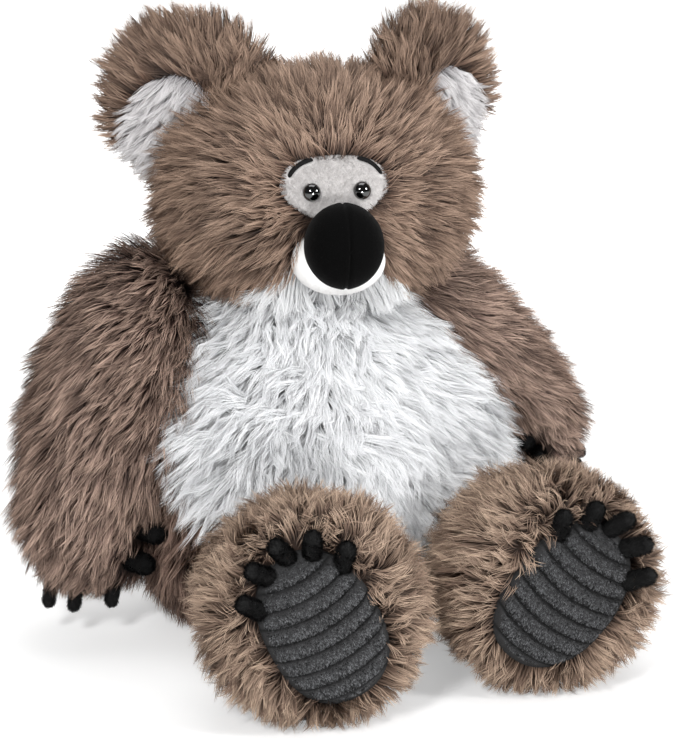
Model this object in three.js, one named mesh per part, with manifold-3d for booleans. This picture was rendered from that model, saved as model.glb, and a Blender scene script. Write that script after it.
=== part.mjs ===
import * as THREE from "three";
import { mergeVertices } from "three/addons/utils/BufferGeometryUtils.js";
import Module from "manifold-3d";

// A seated plush koala in millimetres. +Z is up, the toy looks along -Y and its left side is +X.
// The origin is the centre of the flat seat, on the surface that the toy sits on.
// Every outer form is the middle of the fur's tips, and panels are let into it as sewn panels are.

// Seams, cuts and round stretches
const SEAM_GAP = 0.3;
const ROOM_GAP = 1;
const MERGE_DISTANCE = 0.001;
const REACH = 600;
const OUTLINE_STEPS = 20;
const SMALL_ROUND_STEPS = 7;
const ROUND_POWER = 2;
const PLUMP_POWER = 2.3;
const BLUNT_POWER = 3;

// Torso
const TORSO_HALF = [132, 104, 150];
const TORSO_CENTRE_HEIGHT = 118;
const TORSO_SWELL_SHARES = [1.12, 1.06, 0.98, 0.86, 0.78];
const TORSO_LEAN_SHARES = [0.0, -0.13, -0.12, 0.02, 0.06];
const TORSO_SIDES = 28;
const TORSO_RINGS = 16;
const TORSO_LIFT = 0.5;

// Seat panel and the bag of pellets above it
const SEAT_HALF_WIDTH = 84;
const SEAT_HALF_DEPTH = 66;
const SEAT_THICKNESS = 5;
const BAG_HALF = [62, 48, 22];
const BAG_SIDES = 16;
const BAG_RINGS = 6;

// Belly panel
const BELLY_HALF_WIDTH = 112;
const BELLY_SPREAD_SHARE = 0.12;
const BELLY_HALF_HEIGHT = 86;
const BELLY_CENTRE_HEIGHT = 152;
const BELLY_THICKNESS = 12;
const BELLY_SIDE_POWER = 2.2;

// Head, turned a little to the toy's right
const HEAD_HALF = [107, 90, 81];
const HEAD_CENTRE_HEIGHT = 299;
const HEAD_FORWARD = 14;
const HEAD_TURN_DEGREES = -11.5;
const HEAD_SWELL_SHARES = [1.0, 1.03, 1.0, 0.97, 0.92];
const HEAD_SIDES = 26;
const HEAD_RINGS = 14;
const NECK_RADIUS = 60;
const NECK_HALF_HEIGHT = 34;
const NECK_CENTRE_HEIGHT = 222;
const NECK_SIDES = 26;
const NECK_RINGS = 8;
const ROOM_SIDES = 24;

// Face panel, sunk to the skin from which the fur round it stands up
const FACE_HALF_WIDTH = 35.5;
const FACE_HALF_HEIGHT = 20;
const FACE_CENTRE_RISE = 13;
const FACE_DEPTH = 9;
const FACE_THICKNESS = 3;
const FACE_POWER = 2.6;

// Muzzle lip and nose
const MUZZLE_HALF = [31, 30, 22];
const MUZZLE_FORWARD = 84;
const MUZZLE_DROP = 34;
const MUZZLE_SIDES = 20;
const MUZZLE_RINGS = 10;
const NOSE_HALF = [26, 28, 22];
const NOSE_FORWARD = 104;
const NOSE_DROP = 20;
const NOSE_SIDES = 20;
const NOSE_RINGS = 10;
const NOSE_SEAM_WIDTH = 1.2;
const NOSE_SEAM_DEPTH = 0.9;

// Chin panel
const CHIN_HALF_WIDTH = 45;
const CHIN_HALF_HEIGHT = 25;
const CHIN_DROP = 54;
const CHIN_THICKNESS = 12;

// Safety eyes and their washers
const EYE_RADIUS = 6;
const EYE_DOME_HEIGHT = 4.6;
const EYE_FLANGE_THICKNESS = 1.2;
const EYE_SHANK_RADIUS = 2.1;
const EYE_SHANK_LENGTH = 15;
const EYE_RIB_HEIGHT = 0.4;
const EYE_RIB_COUNT = 4;
const EYE_SPACING = 33;
const EYE_RISE = 11;
const EYE_STANDOFF = 0.5;
const EYE_SIDES = 12;
const EYE_DOME_STEPS = 4;
const WASHER_RADIUS = 8;
const WASHER_DROP = 1.7;
const WASHER_THICKNESS = 1.6;
const WASHER_LIP_THICKNESS = 0.8;
const WASHER_LIP_WIDTH = 1.6;

// Brows
const BROW_RADIUS = 20;
const BROW_WIDTH = 2.6;
const BROW_THICKNESS = 0.9;
const BROW_START_DEGREES = 28;
const BROW_END_DEGREES = 84;
const BROW_INWARD = 4;

// Ears
const EAR_HALF = [61, 60, 17];
const EAR_OUT = 81;
const EAR_BACK = 16;
const EAR_RISE = 56;
const EAR_YAW_DEGREES = { left: 40, right: 25 };
const EAR_SIDES = 18;
const EAR_RINGS = 8;
const EAR_SEAM_DEGREES = -43;
const EAR_ROOT_RADIUS = 13;
const EAR_ROOT_LENGTH = 74;
const EAR_ROOT_DEPTH = 22;
const EAR_FLOP_DEGREES = 12;
const EAR_FLOP_STEPS = 4;
const DISH_HALF = [31, 41, 15];
const DISH_OUT = 8;
const DISH_DROP = 20;
const DISH_FORWARD = 18;
const LINING_THICKNESS = 5;

// Arms, hung on a shoulder seam whose flat side slopes outward and down
const SHOULDER_OUT = { left: 66, right: 85 };
const SHOULDER_BACK = 4;
const SHOULDER_HEIGHT = 205;
const SHOULDER_SLOPE_DEGREES = { left: 40, right: 15.5 };
const ARM_HALF_THICKNESS = { left: 38, right: 54 };
const ARM_HALF_WIDTH = 54;
const ARM_HALF_LENGTH = { left: 121, right: 122 };
const ARM_TOP_RISE = 52;
const ARM_OUT = { left: 31, right: 46 };
const ARM_POWER = 2.7;
const ARM_SWELL_SHARES = [0.98, 0.98, 1.0, 0.89, 0.76];
const ARM_LEAN_SHARES = [0, 0, 0, 0, -0.06];
const ARM_SIDES = 18;
const ARM_RINGS = 12;
const ARM_BACK_LIMIT_DEGREES = 20;
const ARM_FORWARD_LIMIT_DEGREES = 40;
const ARM_SWING_STEPS = 5;
const ARM_REST_SWING_DEGREES = { left: -3, right: 6 };

// Hand digits: three fingers along the end of the hand and two thumbs on its inner front
const DIGIT_SIDES = 8;
const DIGIT_CAP_STEPS = 2;
const FINGER_RADIUS = 5.5;
const FINGER_LENGTH = 26;
const FINGER_REACHES = [5, 13, 14];
const FINGER_FORWARD_TILT = 0.12;
const FINGER_OUT_SHARES = [0.46, 0.94, 1.26];
const FINGER_BACK_SHARES = [-0.26, -0.08, 0.1];
const THUMB_RADIUS = 8;
const THUMB_LENGTH = 12;
const THUMB_OUT_SHARES = { left: 0.2, right: 0.3 };
const THUMB_STAND = 4;
const THUMB_RISES = { left: [62, 39], right: [54, 31] };
const THUMB_YAW_DEGREES = -24;

// Legs and feet
const HIP_OUT = 64;
const HIP_FORWARD = 62;
const HIP_HEIGHT = 62;
const HIP_LIFT_LIMIT_DEGREES = 30;
const HIP_LIFT_STEPS = 2;
const LEG_SPLAY_DEGREES = 7;
const LEG_ROOT_RADIUS = 47;
const LEG_HALF = [44, 43, 80];
const LEG_FORWARD = 42;
const LEG_SIDES = 16;
const LEG_RINGS = 8;
const LEG_ROOT_SIDES = 20;
const LEG_ROOM_SIDES = 14;
const LEG_ROOM_RINGS = 6;
const LEG_ROOM_GAP = 2.2;
const FOOT_HALF = [70, 74, 60];
const FOOT_FORWARD = 144;
const FOOT_CENTRE_HEIGHT = 72;
const FOOT_YAW_DEGREES = { left: -18, right: 5 };
const FOOT_ROLL_DEGREES = { left: 38, right: 27 };
const FOOT_SWELL_SHARES = [1, 1.02, 1.0, 0.94, 0.9];
const FOOT_SIDES = 20;
const FOOT_RINGS = 10;

// Sole pads with ribs across them
const PAD_HALF_WIDTH = 36;
const PAD_HALF_HEIGHT = 51.5;
const PAD_DEPTH = 3;
const PAD_THICKNESS = 8;
const PAD_RIB_COUNT = 9;
const PAD_GROOVE_WIDTH = 1.8;
const PAD_GROOVE_DEPTH = 2.4;

// Toes along the top edge of each pad
const TOE_RADIUS = 6.8;
const TOE_LENGTH = 14;
const TOE_COUNT = 5;
const TOE_FIRST_DEGREES = 40;
const TOE_LAST_DEGREES = 141;
const TOE_EDGE_OFFSET = 5;
const TOE_FORWARD_SHARE = 0.55;
const TOE_ASIDE_SHARES = [-0.4, 0.15, 0.25, 0.05, 0.3];

// Materials
const materials = {
  fur: cloth("#8c7466", 0.95),
  whiteFur: cloth("#eceae6", 0.95),
  greyPile: cloth("#bdbcbd", 0.9),
  fleece: cloth("#f4f3f0", 0.85),
  blackPile: cloth("#141315", 0.85),
  ribbedPile: cloth("#3b3c3f", 0.8),
  felt: cloth("#161517", 0.9),
  calico: cloth("#cfc8ba", 0.9),
  gloss: cloth("#0a0a0b", 0.08),
  washer: cloth("#e6e6e2", 0.45),
};

const wasm = await Module();
wasm.setup();

// Every material of the toy is a dielectric
function cloth(color, roughness) {
  return new THREE.MeshStandardMaterial({ color, roughness, metalness: 0 });
}

const radians = THREE.MathUtils.degToRad;
const X_AXIS = new THREE.Vector3(1, 0, 0);
const Y_AXIS = new THREE.Vector3(0, 1, 0);
const Z_AXIS = new THREE.Vector3(0, 0, 1);

// Turns a closed geometry into a solid that can be cut and joined
function solidOf(geometry) {
  const bare = geometry.clone();
  bare.deleteAttribute("normal");
  bare.deleteAttribute("uv");
  const merged = mergeVertices(bare, MERGE_DISTANCE);
  const vertProperties = merged.attributes.position.array;
  const triVerts = new Uint32Array(merged.index.array);
  return new wasm.Manifold(new wasm.Mesh({ numProp: 3, vertProperties, triVerts }));
}

// Turns a solid back into a geometry with flat facets
function geometryOf(solid) {
  const mesh = solid.getMesh();
  const geometry = new THREE.BufferGeometry();
  geometry.setAttribute("position", new THREE.BufferAttribute(mesh.vertProperties, mesh.numProp));
  geometry.setIndex(new THREE.BufferAttribute(mesh.triVerts, 1));
  const facets = geometry.toNonIndexed();
  facets.computeVertexNormals();
  return facets;
}

// The largest body of a solid, without the slivers that a cut leaves
function mainBody(solid) {
  const bodies = solid.decompose();
  return bodies.reduce((best, body) => (body.volume() > best.volume() ? body : best));
}

function joined(solids) {
  return solids.reduce((sum, solid) => sum.add(solid));
}

function cutBy(solid, cutters) {
  return cutters.reduce((rest, cutter) => rest.subtract(cutter), solid);
}

function moved(solid, matrix) {
  return solid.transform(matrix.elements);
}

// A solid seen from another group's frame
function inFrame(solid, from, to) {
  return moved(solid, to.matrixWorld.clone().invert().multiply(from.matrixWorld));
}

// What a solid covers while it turns about an axis through its group's origin
function swept(solid, axis, fromDegrees, toDegrees, steps) {
  const turns = Array.from({ length: steps + 1 }, (unused, i) =>
    radians(THREE.MathUtils.lerp(fromDegrees, toDegrees, i / steps)),
  );
  return joined(turns.map((turn) => moved(solid, new THREE.Matrix4().makeRotationAxis(axis, turn))));
}

// A smooth curve through evenly spaced shares, read from -1 at the bottom of a form to 1 at its top
function shareCurve(shares) {
  const curve = new THREE.SplineCurve(shares.map((share, i) => new THREE.Vector2(i, share)));
  return (height) => curve.getPoint((height + 1) / 2).y;
}

// A stuffed form: a ball on three half sizes, blunted by a power, then swelled and leaned along its height
function stuffed(shape, grow = 0) {
  const { half, sides, rings, power = PLUMP_POWER, swellShares = [1, 1], leanShares = [0, 0] } = shape;
  const leanAxis = shape.leanAxis ?? "y";
  const [wide, deep, tall] = half.map((size) => size + grow);
  const swell = shareCurve(swellShares);
  const lean = shareCurve(leanShares);
  const ball = new THREE.SphereGeometry(1, sides, rings).rotateX(Math.PI / 2);
  const points = ball.attributes.position;
  const point = new THREE.Vector3();
  for (let i = 0; i < points.count; i++) {
    point.fromBufferAttribute(points, i);
    const ring = Math.max(Math.hypot(point.x, point.y), Number.EPSILON);
    const height = Math.sign(point.z) * Math.abs(point.z) ** (2 / power);
    const spread = (ring ** (2 / power) / ring) * swell(height);
    const shift = lean(height);
    const aside = leanAxis === "x" ? shift * half[0] : 0;
    const along = leanAxis === "y" ? shift * half[1] : 0;
    points.setXYZ(i, point.x * spread * wide + aside, point.y * spread * deep + along, height * tall);
  }
  return solidOf(ball);
}

// The same form with its height laid along -Y, as a face, a foot or an ear lies
function stuffedForward(shape, grow = 0) {
  return moved(stuffed(shape, grow), new THREE.Matrix4().makeRotationX(Math.PI / 2));
}

// How far a blunt form still stands up at a share of its radius
function standShare(share, power) {
  return (1 - share ** power) ** (1 / power);
}

// An oval outline, squarer as its power rises and wider towards its top by its spread
function oval(halfWidth, halfHeight, power, centreHeight = 0, spread = 0) {
  const points = Array.from({ length: OUTLINE_STEPS }, (unused, i) => {
    const turn = (i / OUTLINE_STEPS) * 2 * Math.PI;
    const across = Math.sign(Math.cos(turn)) * Math.abs(Math.cos(turn)) ** (2 / power);
    const up = Math.sign(Math.sin(turn)) * Math.abs(Math.sin(turn)) ** (2 / power);
    return new THREE.Vector2(across * halfWidth * (1 + spread * up), centreHeight + up * halfHeight);
  });
  return new THREE.Shape(points);
}

// An outline drawn in X and Z, carried from the middle plane to the front
function frontPrism(outline, curveSegments = SMALL_ROUND_STEPS) {
  const prism = new THREE.ExtrudeGeometry(outline, { depth: REACH, bevelEnabled: false, curveSegments });
  return solidOf(prism.rotateX(Math.PI / 2));
}

// An outline drawn in X and Y, raised from the floor
function floorPrism(outline, height) {
  return solidOf(new THREE.ExtrudeGeometry(outline, { depth: height, bevelEnabled: false }));
}

function slab(sizeX, sizeY, sizeZ, x, y, z) {
  return solidOf(new THREE.BoxGeometry(sizeX, sizeY, sizeZ).translate(x, y, z));
}

// The clearance in which a round with flat facets still turns freely
function turnGap(radius, sides) {
  return SEAM_GAP + radius * (1 - Math.cos(Math.PI / sides));
}

// A round-ended digit lying along a direction, with its middle at a point
function digit(radius, length, centre, direction, grow = 0) {
  const capsule = new THREE.CapsuleGeometry(radius + grow, length, DIGIT_CAP_STEPS, DIGIT_SIDES);
  const turn = new THREE.Quaternion().setFromUnitVectors(Y_AXIS, direction);
  const matrix = new THREE.Matrix4().makeRotationFromQuaternion(turn).setPosition(centre);
  return solidOf(capsule.applyMatrix4(matrix));
}

function addPiece(group, name, solid, material) {
  const mesh = new THREE.Mesh(geometryOf(solid), material);
  mesh.name = name;
  group.add(mesh);
}

function addGroup(parent, x, y, z) {
  const group = new THREE.Group();
  group.position.set(x, y, z);
  parent.add(group);
  return group;
}

// The scene graph: each moving part has a group whose origin is on its joint
const signs = { left: 1, right: -1 };
const koala = new THREE.Group();
const head = addGroup(koala, 0, -HEAD_FORWARD, HEAD_CENTRE_HEIGHT);
head.rotation.z = radians(HEAD_TURN_DEGREES);

const ears = {};
const arms = {};
const legs = {};
const feet = {};
for (const [side, sign] of Object.entries(signs)) {
  ears[side] = addGroup(head, sign * EAR_OUT, EAR_BACK, EAR_RISE);
  ears[side].rotation.z = sign * radians(EAR_YAW_DEGREES[side]);
  const shoulder = addGroup(koala, sign * SHOULDER_OUT[side], SHOULDER_BACK, SHOULDER_HEIGHT);
  shoulder.rotation.y = -sign * radians(SHOULDER_SLOPE_DEGREES[side]);
  arms[side] = addGroup(shoulder, 0, 0, 0);
  arms[side].rotation.x = -radians(ARM_REST_SWING_DEGREES[side]);
  const hip = addGroup(koala, sign * HIP_OUT, -HIP_FORWARD, HIP_HEIGHT);
  legs[side] = addGroup(hip, 0, 0, 0);
  legs[side].rotation.z = sign * radians(LEG_SPLAY_DEGREES);
  feet[side] = addGroup(legs[side], 0, -FOOT_FORWARD, FOOT_CENTRE_HEIGHT - HIP_HEIGHT);
  feet[side].rotation.order = "ZYX";
  feet[side].rotation.z = sign * radians(FOOT_YAW_DEGREES[side]);
  feet[side].rotation.y = sign * radians(FOOT_ROLL_DEGREES[side]);
}
koala.updateMatrixWorld(true);

// Mirrors a solid made for the left side to the right side
function forSide(solid, sign) {
  return sign > 0 ? solid : solid.mirror([1, 0, 0]);
}

// Forms that more than one piece is cut from
function torsoForm(grow = 0) {
  const shape = {
    half: TORSO_HALF,
    sides: TORSO_SIDES,
    rings: TORSO_RINGS,
    swellShares: TORSO_SWELL_SHARES,
    leanShares: TORSO_LEAN_SHARES,
  };
  return stuffed(shape, grow).translate([0, 0, TORSO_CENTRE_HEIGHT]);
}

function neckDome(grow = 0) {
  const half = [NECK_RADIUS, NECK_RADIUS, NECK_HALF_HEIGHT];
  const dome = stuffed({ half, sides: NECK_SIDES, rings: NECK_RINGS, power: ROUND_POWER }, grow);
  return dome.translate([0, -HEAD_FORWARD, NECK_CENTRE_HEIGHT]);
}

function headForm(grow = 0) {
  const shape = { half: HEAD_HALF, sides: HEAD_SIDES, rings: HEAD_RINGS, swellShares: HEAD_SWELL_SHARES };
  return stuffed(shape, grow);
}

function muzzleForm(grow = 0) {
  const shape = { half: MUZZLE_HALF, sides: MUZZLE_SIDES, rings: MUZZLE_RINGS, power: ROUND_POWER };
  return stuffed(shape, grow).translate([0, -MUZZLE_FORWARD, -MUZZLE_DROP]);
}

function noseForm(grow = 0) {
  const shape = { half: NOSE_HALF, sides: NOSE_SIDES, rings: NOSE_RINGS };
  return stuffedForward(shape, grow).translate([0, -NOSE_FORWARD, -NOSE_DROP]);
}

function armForm(side) {
  const halfLength = ARM_HALF_LENGTH[side];
  const shape = {
    half: [ARM_HALF_THICKNESS[side], ARM_HALF_WIDTH, halfLength],
    sides: ARM_SIDES,
    rings: ARM_RINGS,
    power: ARM_POWER,
    swellShares: ARM_SWELL_SHARES,
    leanShares: ARM_LEAN_SHARES,
    leanAxis: "x",
  };
  return stuffed(shape).translate([ARM_OUT[side], 0, ARM_TOP_RISE - halfLength]);
}

// The leg's tube, from inside its root to the foot
function legTube(grow = 0, sides = LEG_SIDES, rings = LEG_RINGS) {
  return stuffedForward({ half: LEG_HALF, sides, rings }, grow).translate([0, -LEG_FORWARD, 0]);
}

// The leg's root: a ball that turns about X on the hip seam
function legRoot(grow = 0) {
  const half = [LEG_ROOT_RADIUS, LEG_ROOT_RADIUS, LEG_ROOT_RADIUS];
  const root = stuffed({ half, sides: LEG_ROOT_SIDES, rings: LEG_RINGS, power: ROUND_POWER }, grow);
  return moved(root, new THREE.Matrix4().makeRotationY(Math.PI / 2));
}

// The room that a leg needs in the torso while it lifts
function legRoom(leg) {
  const tube = inFrame(legTube(LEG_ROOM_GAP, LEG_ROOM_SIDES, LEG_ROOM_RINGS), leg, leg.parent);
  const lifted = swept(tube, X_AXIS, -HIP_LIFT_LIMIT_DEGREES, 0, HIP_LIFT_STEPS);
  return lifted.add(legRoot(turnGap(LEG_ROOT_RADIUS, LEG_ROOT_SIDES)));
}

function footForm(grow = 0) {
  const shape = {
    half: FOOT_HALF,
    sides: FOOT_SIDES,
    rings: FOOT_RINGS,
    power: BLUNT_POWER,
    swellShares: [...FOOT_SWELL_SHARES].reverse(),
  };
  return stuffedForward(shape, grow);
}

function earForm(grow = 0) {
  return stuffedForward({ half: EAR_HALF, sides: EAR_SIDES, rings: EAR_RINGS }, grow);
}

// The round room that the head needs to turn on the neck, in the body's frame
function headRoom() {
  const widest = Math.max(HEAD_HALF[0], HEAD_HALF[1]);
  const half = [widest, widest, HEAD_HALF[2]];
  const shape = { half, sides: ROOM_SIDES, rings: HEAD_RINGS, swellShares: HEAD_SWELL_SHARES };
  return inFrame(stuffed(shape, ROOM_GAP + turnGap(widest, ROOM_SIDES)), head, koala);
}
const headSweep = headRoom();

// Torso, belly panel, seat panel and pellet bag
function addTorso() {
  const flatBelow = slab(REACH, REACH, REACH, 0, 0, TORSO_LIFT - REACH / 2);
  const cutters = [flatBelow, headSweep.subtract(neckDome())];
  for (const [side, sign] of Object.entries(signs)) {
    const beside = slab(REACH, REACH, REACH, sign * (REACH / 2 - SEAM_GAP), 0, 0);
    cutters.push(inFrame(beside, arms[side].parent, koala));
    cutters.push(inFrame(legRoom(legs[side]), legs[side].parent, koala));
  }
  const body = cutBy(torsoForm().add(neckDome()), cutters);

  const bellyPrism = (grow) => {
    const [width, height] = [BELLY_HALF_WIDTH + grow, BELLY_HALF_HEIGHT + grow];
    return frontPrism(oval(width, height, BELLY_SIDE_POWER, BELLY_CENTRE_HEIGHT, BELLY_SPREAD_SHARE));
  };
  const belly = body.intersect(bellyPrism(0)).subtract(torsoForm(-BELLY_THICKNESS));
  const bellyPocket = bellyPrism(SEAM_GAP).subtract(torsoForm(-BELLY_THICKNESS - SEAM_GAP));

  const seat = (grow) => {
    const outline = oval(SEAT_HALF_WIDTH + grow, SEAT_HALF_DEPTH + grow, PLUMP_POWER);
    return floorPrism(outline, SEAT_THICKNESS + grow);
  };
  const bag = (grow) => {
    const shape = { half: BAG_HALF, sides: BAG_SIDES, rings: BAG_RINGS };
    return stuffed(shape, grow).translate([0, 0, SEAT_THICKNESS + SEAM_GAP + BAG_HALF[2]]);
  };
  const bagOutline = oval(BAG_HALF[0] + SEAM_GAP, BAG_HALF[1] + SEAM_GAP, ROUND_POWER);
  const bagWay = floorPrism(bagOutline, SEAT_THICKNESS + BAG_HALF[2]);

  const torso = cutBy(body, [bellyPocket, seat(SEAM_GAP), bag(SEAM_GAP), bagWay]);
  addPiece(koala, "torso", mainBody(torso), materials.fur);
  addPiece(koala, "belly_panel", mainBody(belly), materials.whiteFur);
  addPiece(koala, "seat_panel", seat(0), materials.fur);
  addPiece(koala, "pellet_bag", bag(0), materials.calico);
}

// Where an eye sits on the face panel, and the way it looks
function eyePlace(sign) {
  const x = (sign * EYE_SPACING) / 2;
  const [wide, deep, tall] = HEAD_HALF.map((size) => size - FACE_DEPTH);
  const y = -deep * standShare(Math.hypot(x / wide, EYE_RISE / tall), ROUND_POWER);
  const outward = new THREE.Vector3(x / wide ** 2, y / deep ** 2, EYE_RISE / tall ** 2).normalize();
  const seat = new THREE.Vector3(x, y, EYE_RISE).addScaledVector(outward, EYE_STANDOFF);
  const turn = new THREE.Quaternion().setFromUnitVectors(Z_AXIS, outward);
  return new THREE.Matrix4().makeRotationFromQuaternion(turn).setPosition(seat);
}

// Safety eye: a domed head with a flange, on a shank with ribs that grip the washer
function eyeSolid() {
  const profile = [new THREE.Vector2(0, -EYE_SHANK_LENGTH)];
  const ribPitch = (EYE_SHANK_LENGTH - EYE_RIB_HEIGHT) / (EYE_RIB_COUNT + 1);
  for (let i = 0; i < EYE_RIB_COUNT; i++) {
    const start = -EYE_SHANK_LENGTH + i * ribPitch;
    profile.push(new THREE.Vector2(EYE_SHANK_RADIUS, start));
    profile.push(new THREE.Vector2(EYE_SHANK_RADIUS + EYE_RIB_HEIGHT, start + ribPitch - EYE_RIB_HEIGHT));
  }
  const top = -EYE_SHANK_LENGTH + EYE_RIB_COUNT * ribPitch;
  profile.push(new THREE.Vector2(EYE_SHANK_RADIUS, top));
  profile.push(new THREE.Vector2(EYE_SHANK_RADIUS, 0));
  profile.push(new THREE.Vector2(EYE_RADIUS, 0));
  for (let i = 0; i <= EYE_DOME_STEPS; i++) {
    const turn = ((i / EYE_DOME_STEPS) * Math.PI) / 2;
    const height = EYE_FLANGE_THICKNESS + EYE_DOME_HEIGHT * Math.sin(turn);
    profile.push(new THREE.Vector2(i < EYE_DOME_STEPS ? EYE_RADIUS * Math.cos(turn) : 0, height));
  }
  return solidOf(new THREE.LatheGeometry(profile, EYE_SIDES).rotateX(Math.PI / 2));
}

// A ring about Z that closes on itself
function ring(inner, outer, low, high) {
  const corners = [
    [inner, low],
    [outer, low],
    [outer, high],
    [inner, high],
    [inner, low],
  ];
  const profile = corners.map(([radius, height]) => new THREE.Vector2(radius, height));
  return solidOf(new THREE.LatheGeometry(profile, EYE_SIDES).rotateX(Math.PI / 2));
}

function cylinder(radius, low, high) {
  const body = new THREE.CylinderGeometry(radius, radius, high - low, EYE_SIDES).rotateX(Math.PI / 2);
  return solidOf(body.translate(0, 0, (low + high) / 2));
}

// Washer: a thin disc with a thicker rim and a hub that the shank's ribs pass through
function washerSolid(low) {
  const bore = EYE_SHANK_RADIUS + EYE_RIB_HEIGHT + SEAM_GAP;
  const disc = ring(bore, WASHER_RADIUS, low, low + WASHER_LIP_THICKNESS);
  const rim = ring(WASHER_RADIUS - WASHER_LIP_WIDTH, WASHER_RADIUS, low, low + WASHER_THICKNESS);
  const hub = ring(bore, bore + WASHER_LIP_WIDTH, low, low + WASHER_THICKNESS);
  return joined([disc, rim, hub]);
}

// Brow: a thin felt arc on the face panel, over the outer side of the eye
function browSolid(sign) {
  const outline = new THREE.Shape();
  const centreX = EYE_SPACING / 2 - BROW_INWARD;
  const start = radians(BROW_START_DEGREES);
  const end = radians(BROW_END_DEGREES);
  outline.absarc(centreX, EYE_RISE, BROW_RADIUS + BROW_WIDTH / 2, start, end, false);
  outline.absarc(centreX, EYE_RISE, BROW_RADIUS - BROW_WIDTH / 2, end, start, true);
  const back = FACE_DEPTH - SEAM_GAP;
  const layer = headForm(BROW_THICKNESS - back).subtract(headForm(-back));
  return forSide(layer.intersect(frontPrism(outline)), sign);
}

// Ear parts in the left ear's frame, where X is outward
const earUp = new THREE.Vector3(-Math.sin(radians(EAR_SEAM_DEGREES)), 0, Math.cos(radians(EAR_SEAM_DEGREES)));
const earSeam = new THREE.Vector3(Math.cos(radians(EAR_SEAM_DEGREES)), 0, Math.sin(radians(EAR_SEAM_DEGREES)));

function earRoot(grow = 0) {
  const length = EAR_ROOT_LENGTH + 2 * grow;
  const rod = new THREE.CylinderGeometry(EAR_ROOT_RADIUS + grow, EAR_ROOT_RADIUS + grow, length, EAR_SIDES);
  const turn = new THREE.Quaternion().setFromUnitVectors(Y_AXIS, earSeam);
  const centre = earUp.clone().multiplyScalar(-EAR_ROOT_DEPTH);
  return solidOf(rod.applyMatrix4(new THREE.Matrix4().makeRotationFromQuaternion(turn).setPosition(centre)));
}

// The half of the ear that stands beyond its seam, grown all round when it cuts the head
function earBlade(grow = 0) {
  const beyond = new THREE.BoxGeometry(REACH, REACH, REACH).translate(0, 0, REACH / 2 - EAR_ROOT_DEPTH - grow);
  const turn = new THREE.Quaternion().setFromUnitVectors(Z_AXIS, earUp);
  return earForm(grow).intersect(solidOf(beyond.applyQuaternion(turn)));
}

function earSweep() {
  const centre = earUp.clone().multiplyScalar(-EAR_ROOT_DEPTH);
  const centred = earBlade(SEAM_GAP).translate([-centre.x, -centre.y, -centre.z]);
  const fan = swept(centred, earSeam, -EAR_FLOP_DEGREES, EAR_FLOP_DEGREES, EAR_FLOP_STEPS);
  return fan.translate([centre.x, centre.y, centre.z]).add(earRoot(SEAM_GAP));
}

function dishForm(grow = 0) {
  const dish = stuffedForward({ half: DISH_HALF, sides: EAR_SIDES, rings: EAR_RINGS, power: ROUND_POWER }, grow);
  return dish.translate([DISH_OUT, -DISH_FORWARD, -DISH_DROP]);
}

function addEar(side, sign) {
  const whole = earBlade().add(earRoot());
  const ear = whole.subtract(dishForm());
  const lining = earBlade().intersect(dishForm(-SEAM_GAP)).subtract(dishForm(-LINING_THICKNESS));
  addPiece(ears[side], "ear_" + side, forSide(mainBody(ear), sign), materials.fur);
  addPiece(ears[side], "ear_lining_" + side, forSide(mainBody(lining), sign), materials.whiteFur);
}

// Head with everything sewn into its face
function addHead() {
  const facePrism = (grow) =>
    frontPrism(oval(FACE_HALF_WIDTH + grow, FACE_HALF_HEIGHT + grow, FACE_POWER, FACE_CENTRE_RISE));
  const chinPrism = (grow) =>
    frontPrism(oval(CHIN_HALF_WIDTH + grow, CHIN_HALF_HEIGHT + grow, PLUMP_POWER, -CHIN_DROP));
  const faceBack = FACE_DEPTH + FACE_THICKNESS;
  const neck = inFrame(neckDome(turnGap(NECK_RADIUS, NECK_SIDES)), koala, head);

  const nose = noseForm();
  const seamSlab = slab(NOSE_SEAM_WIDTH, REACH, REACH, 0, -REACH / 2 - NOSE_FORWARD, 0);
  const seam = seamSlab.subtract(noseForm(-NOSE_SEAM_DEPTH));
  const muzzle = muzzleForm().subtract(noseForm(SEAM_GAP));
  const lipCut = [muzzleForm(SEAM_GAP), noseForm(SEAM_GAP)];

  let patch = headForm(-FACE_DEPTH).subtract(headForm(-faceBack)).intersect(facePrism(0));
  patch = cutBy(patch, lipCut);
  let chin = headForm().subtract(headForm(-CHIN_THICKNESS)).intersect(chinPrism(0));
  chin = cutBy(chin, [...lipCut, neck, facePrism(SEAM_GAP)]);

  let skull = cutBy(headForm(), [
    facePrism(SEAM_GAP).subtract(headForm(-faceBack - SEAM_GAP)),
    chinPrism(SEAM_GAP).subtract(headForm(-CHIN_THICKNESS - SEAM_GAP)),
    ...lipCut,
    neck,
  ]);

  const shankHole = EYE_SHANK_RADIUS + EYE_RIB_HEIGHT + SEAM_GAP;
  const washerLow = -FACE_THICKNESS - EYE_STANDOFF - WASHER_DROP - WASHER_THICKNESS;
  for (const [side, sign] of Object.entries(signs)) {
    const place = eyePlace(sign);
    const bore = moved(cylinder(shankHole, -EYE_SHANK_LENGTH - SEAM_GAP, EYE_DOME_HEIGHT), place);
    const pocket = cylinder(WASHER_RADIUS + SEAM_GAP, washerLow - SEAM_GAP, EYE_DOME_HEIGHT);
    patch = patch.subtract(bore);
    skull = cutBy(skull, [bore, moved(pocket, place)]);
    addPiece(head, "eye_" + side, moved(eyeSolid(), place), materials.gloss);
    addPiece(head, "eye_washer_" + side, moved(washerSolid(washerLow), place), materials.washer);
    addPiece(head, "brow_" + side, browSolid(sign), materials.felt);
    skull = skull.subtract(inFrame(forSide(earSweep(), sign), ears[side], head));
    addEar(side, sign);
  }

  addPiece(head, "head", mainBody(skull), materials.fur);
  addPiece(head, "face_patch", mainBody(patch), materials.greyPile);
  addPiece(head, "muzzle", mainBody(muzzle), materials.fleece);
  addPiece(head, "nose", nose.subtract(seam), materials.blackPile);
  addPiece(head, "chin_panel", mainBody(chin), materials.whiteFur);
}

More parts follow.
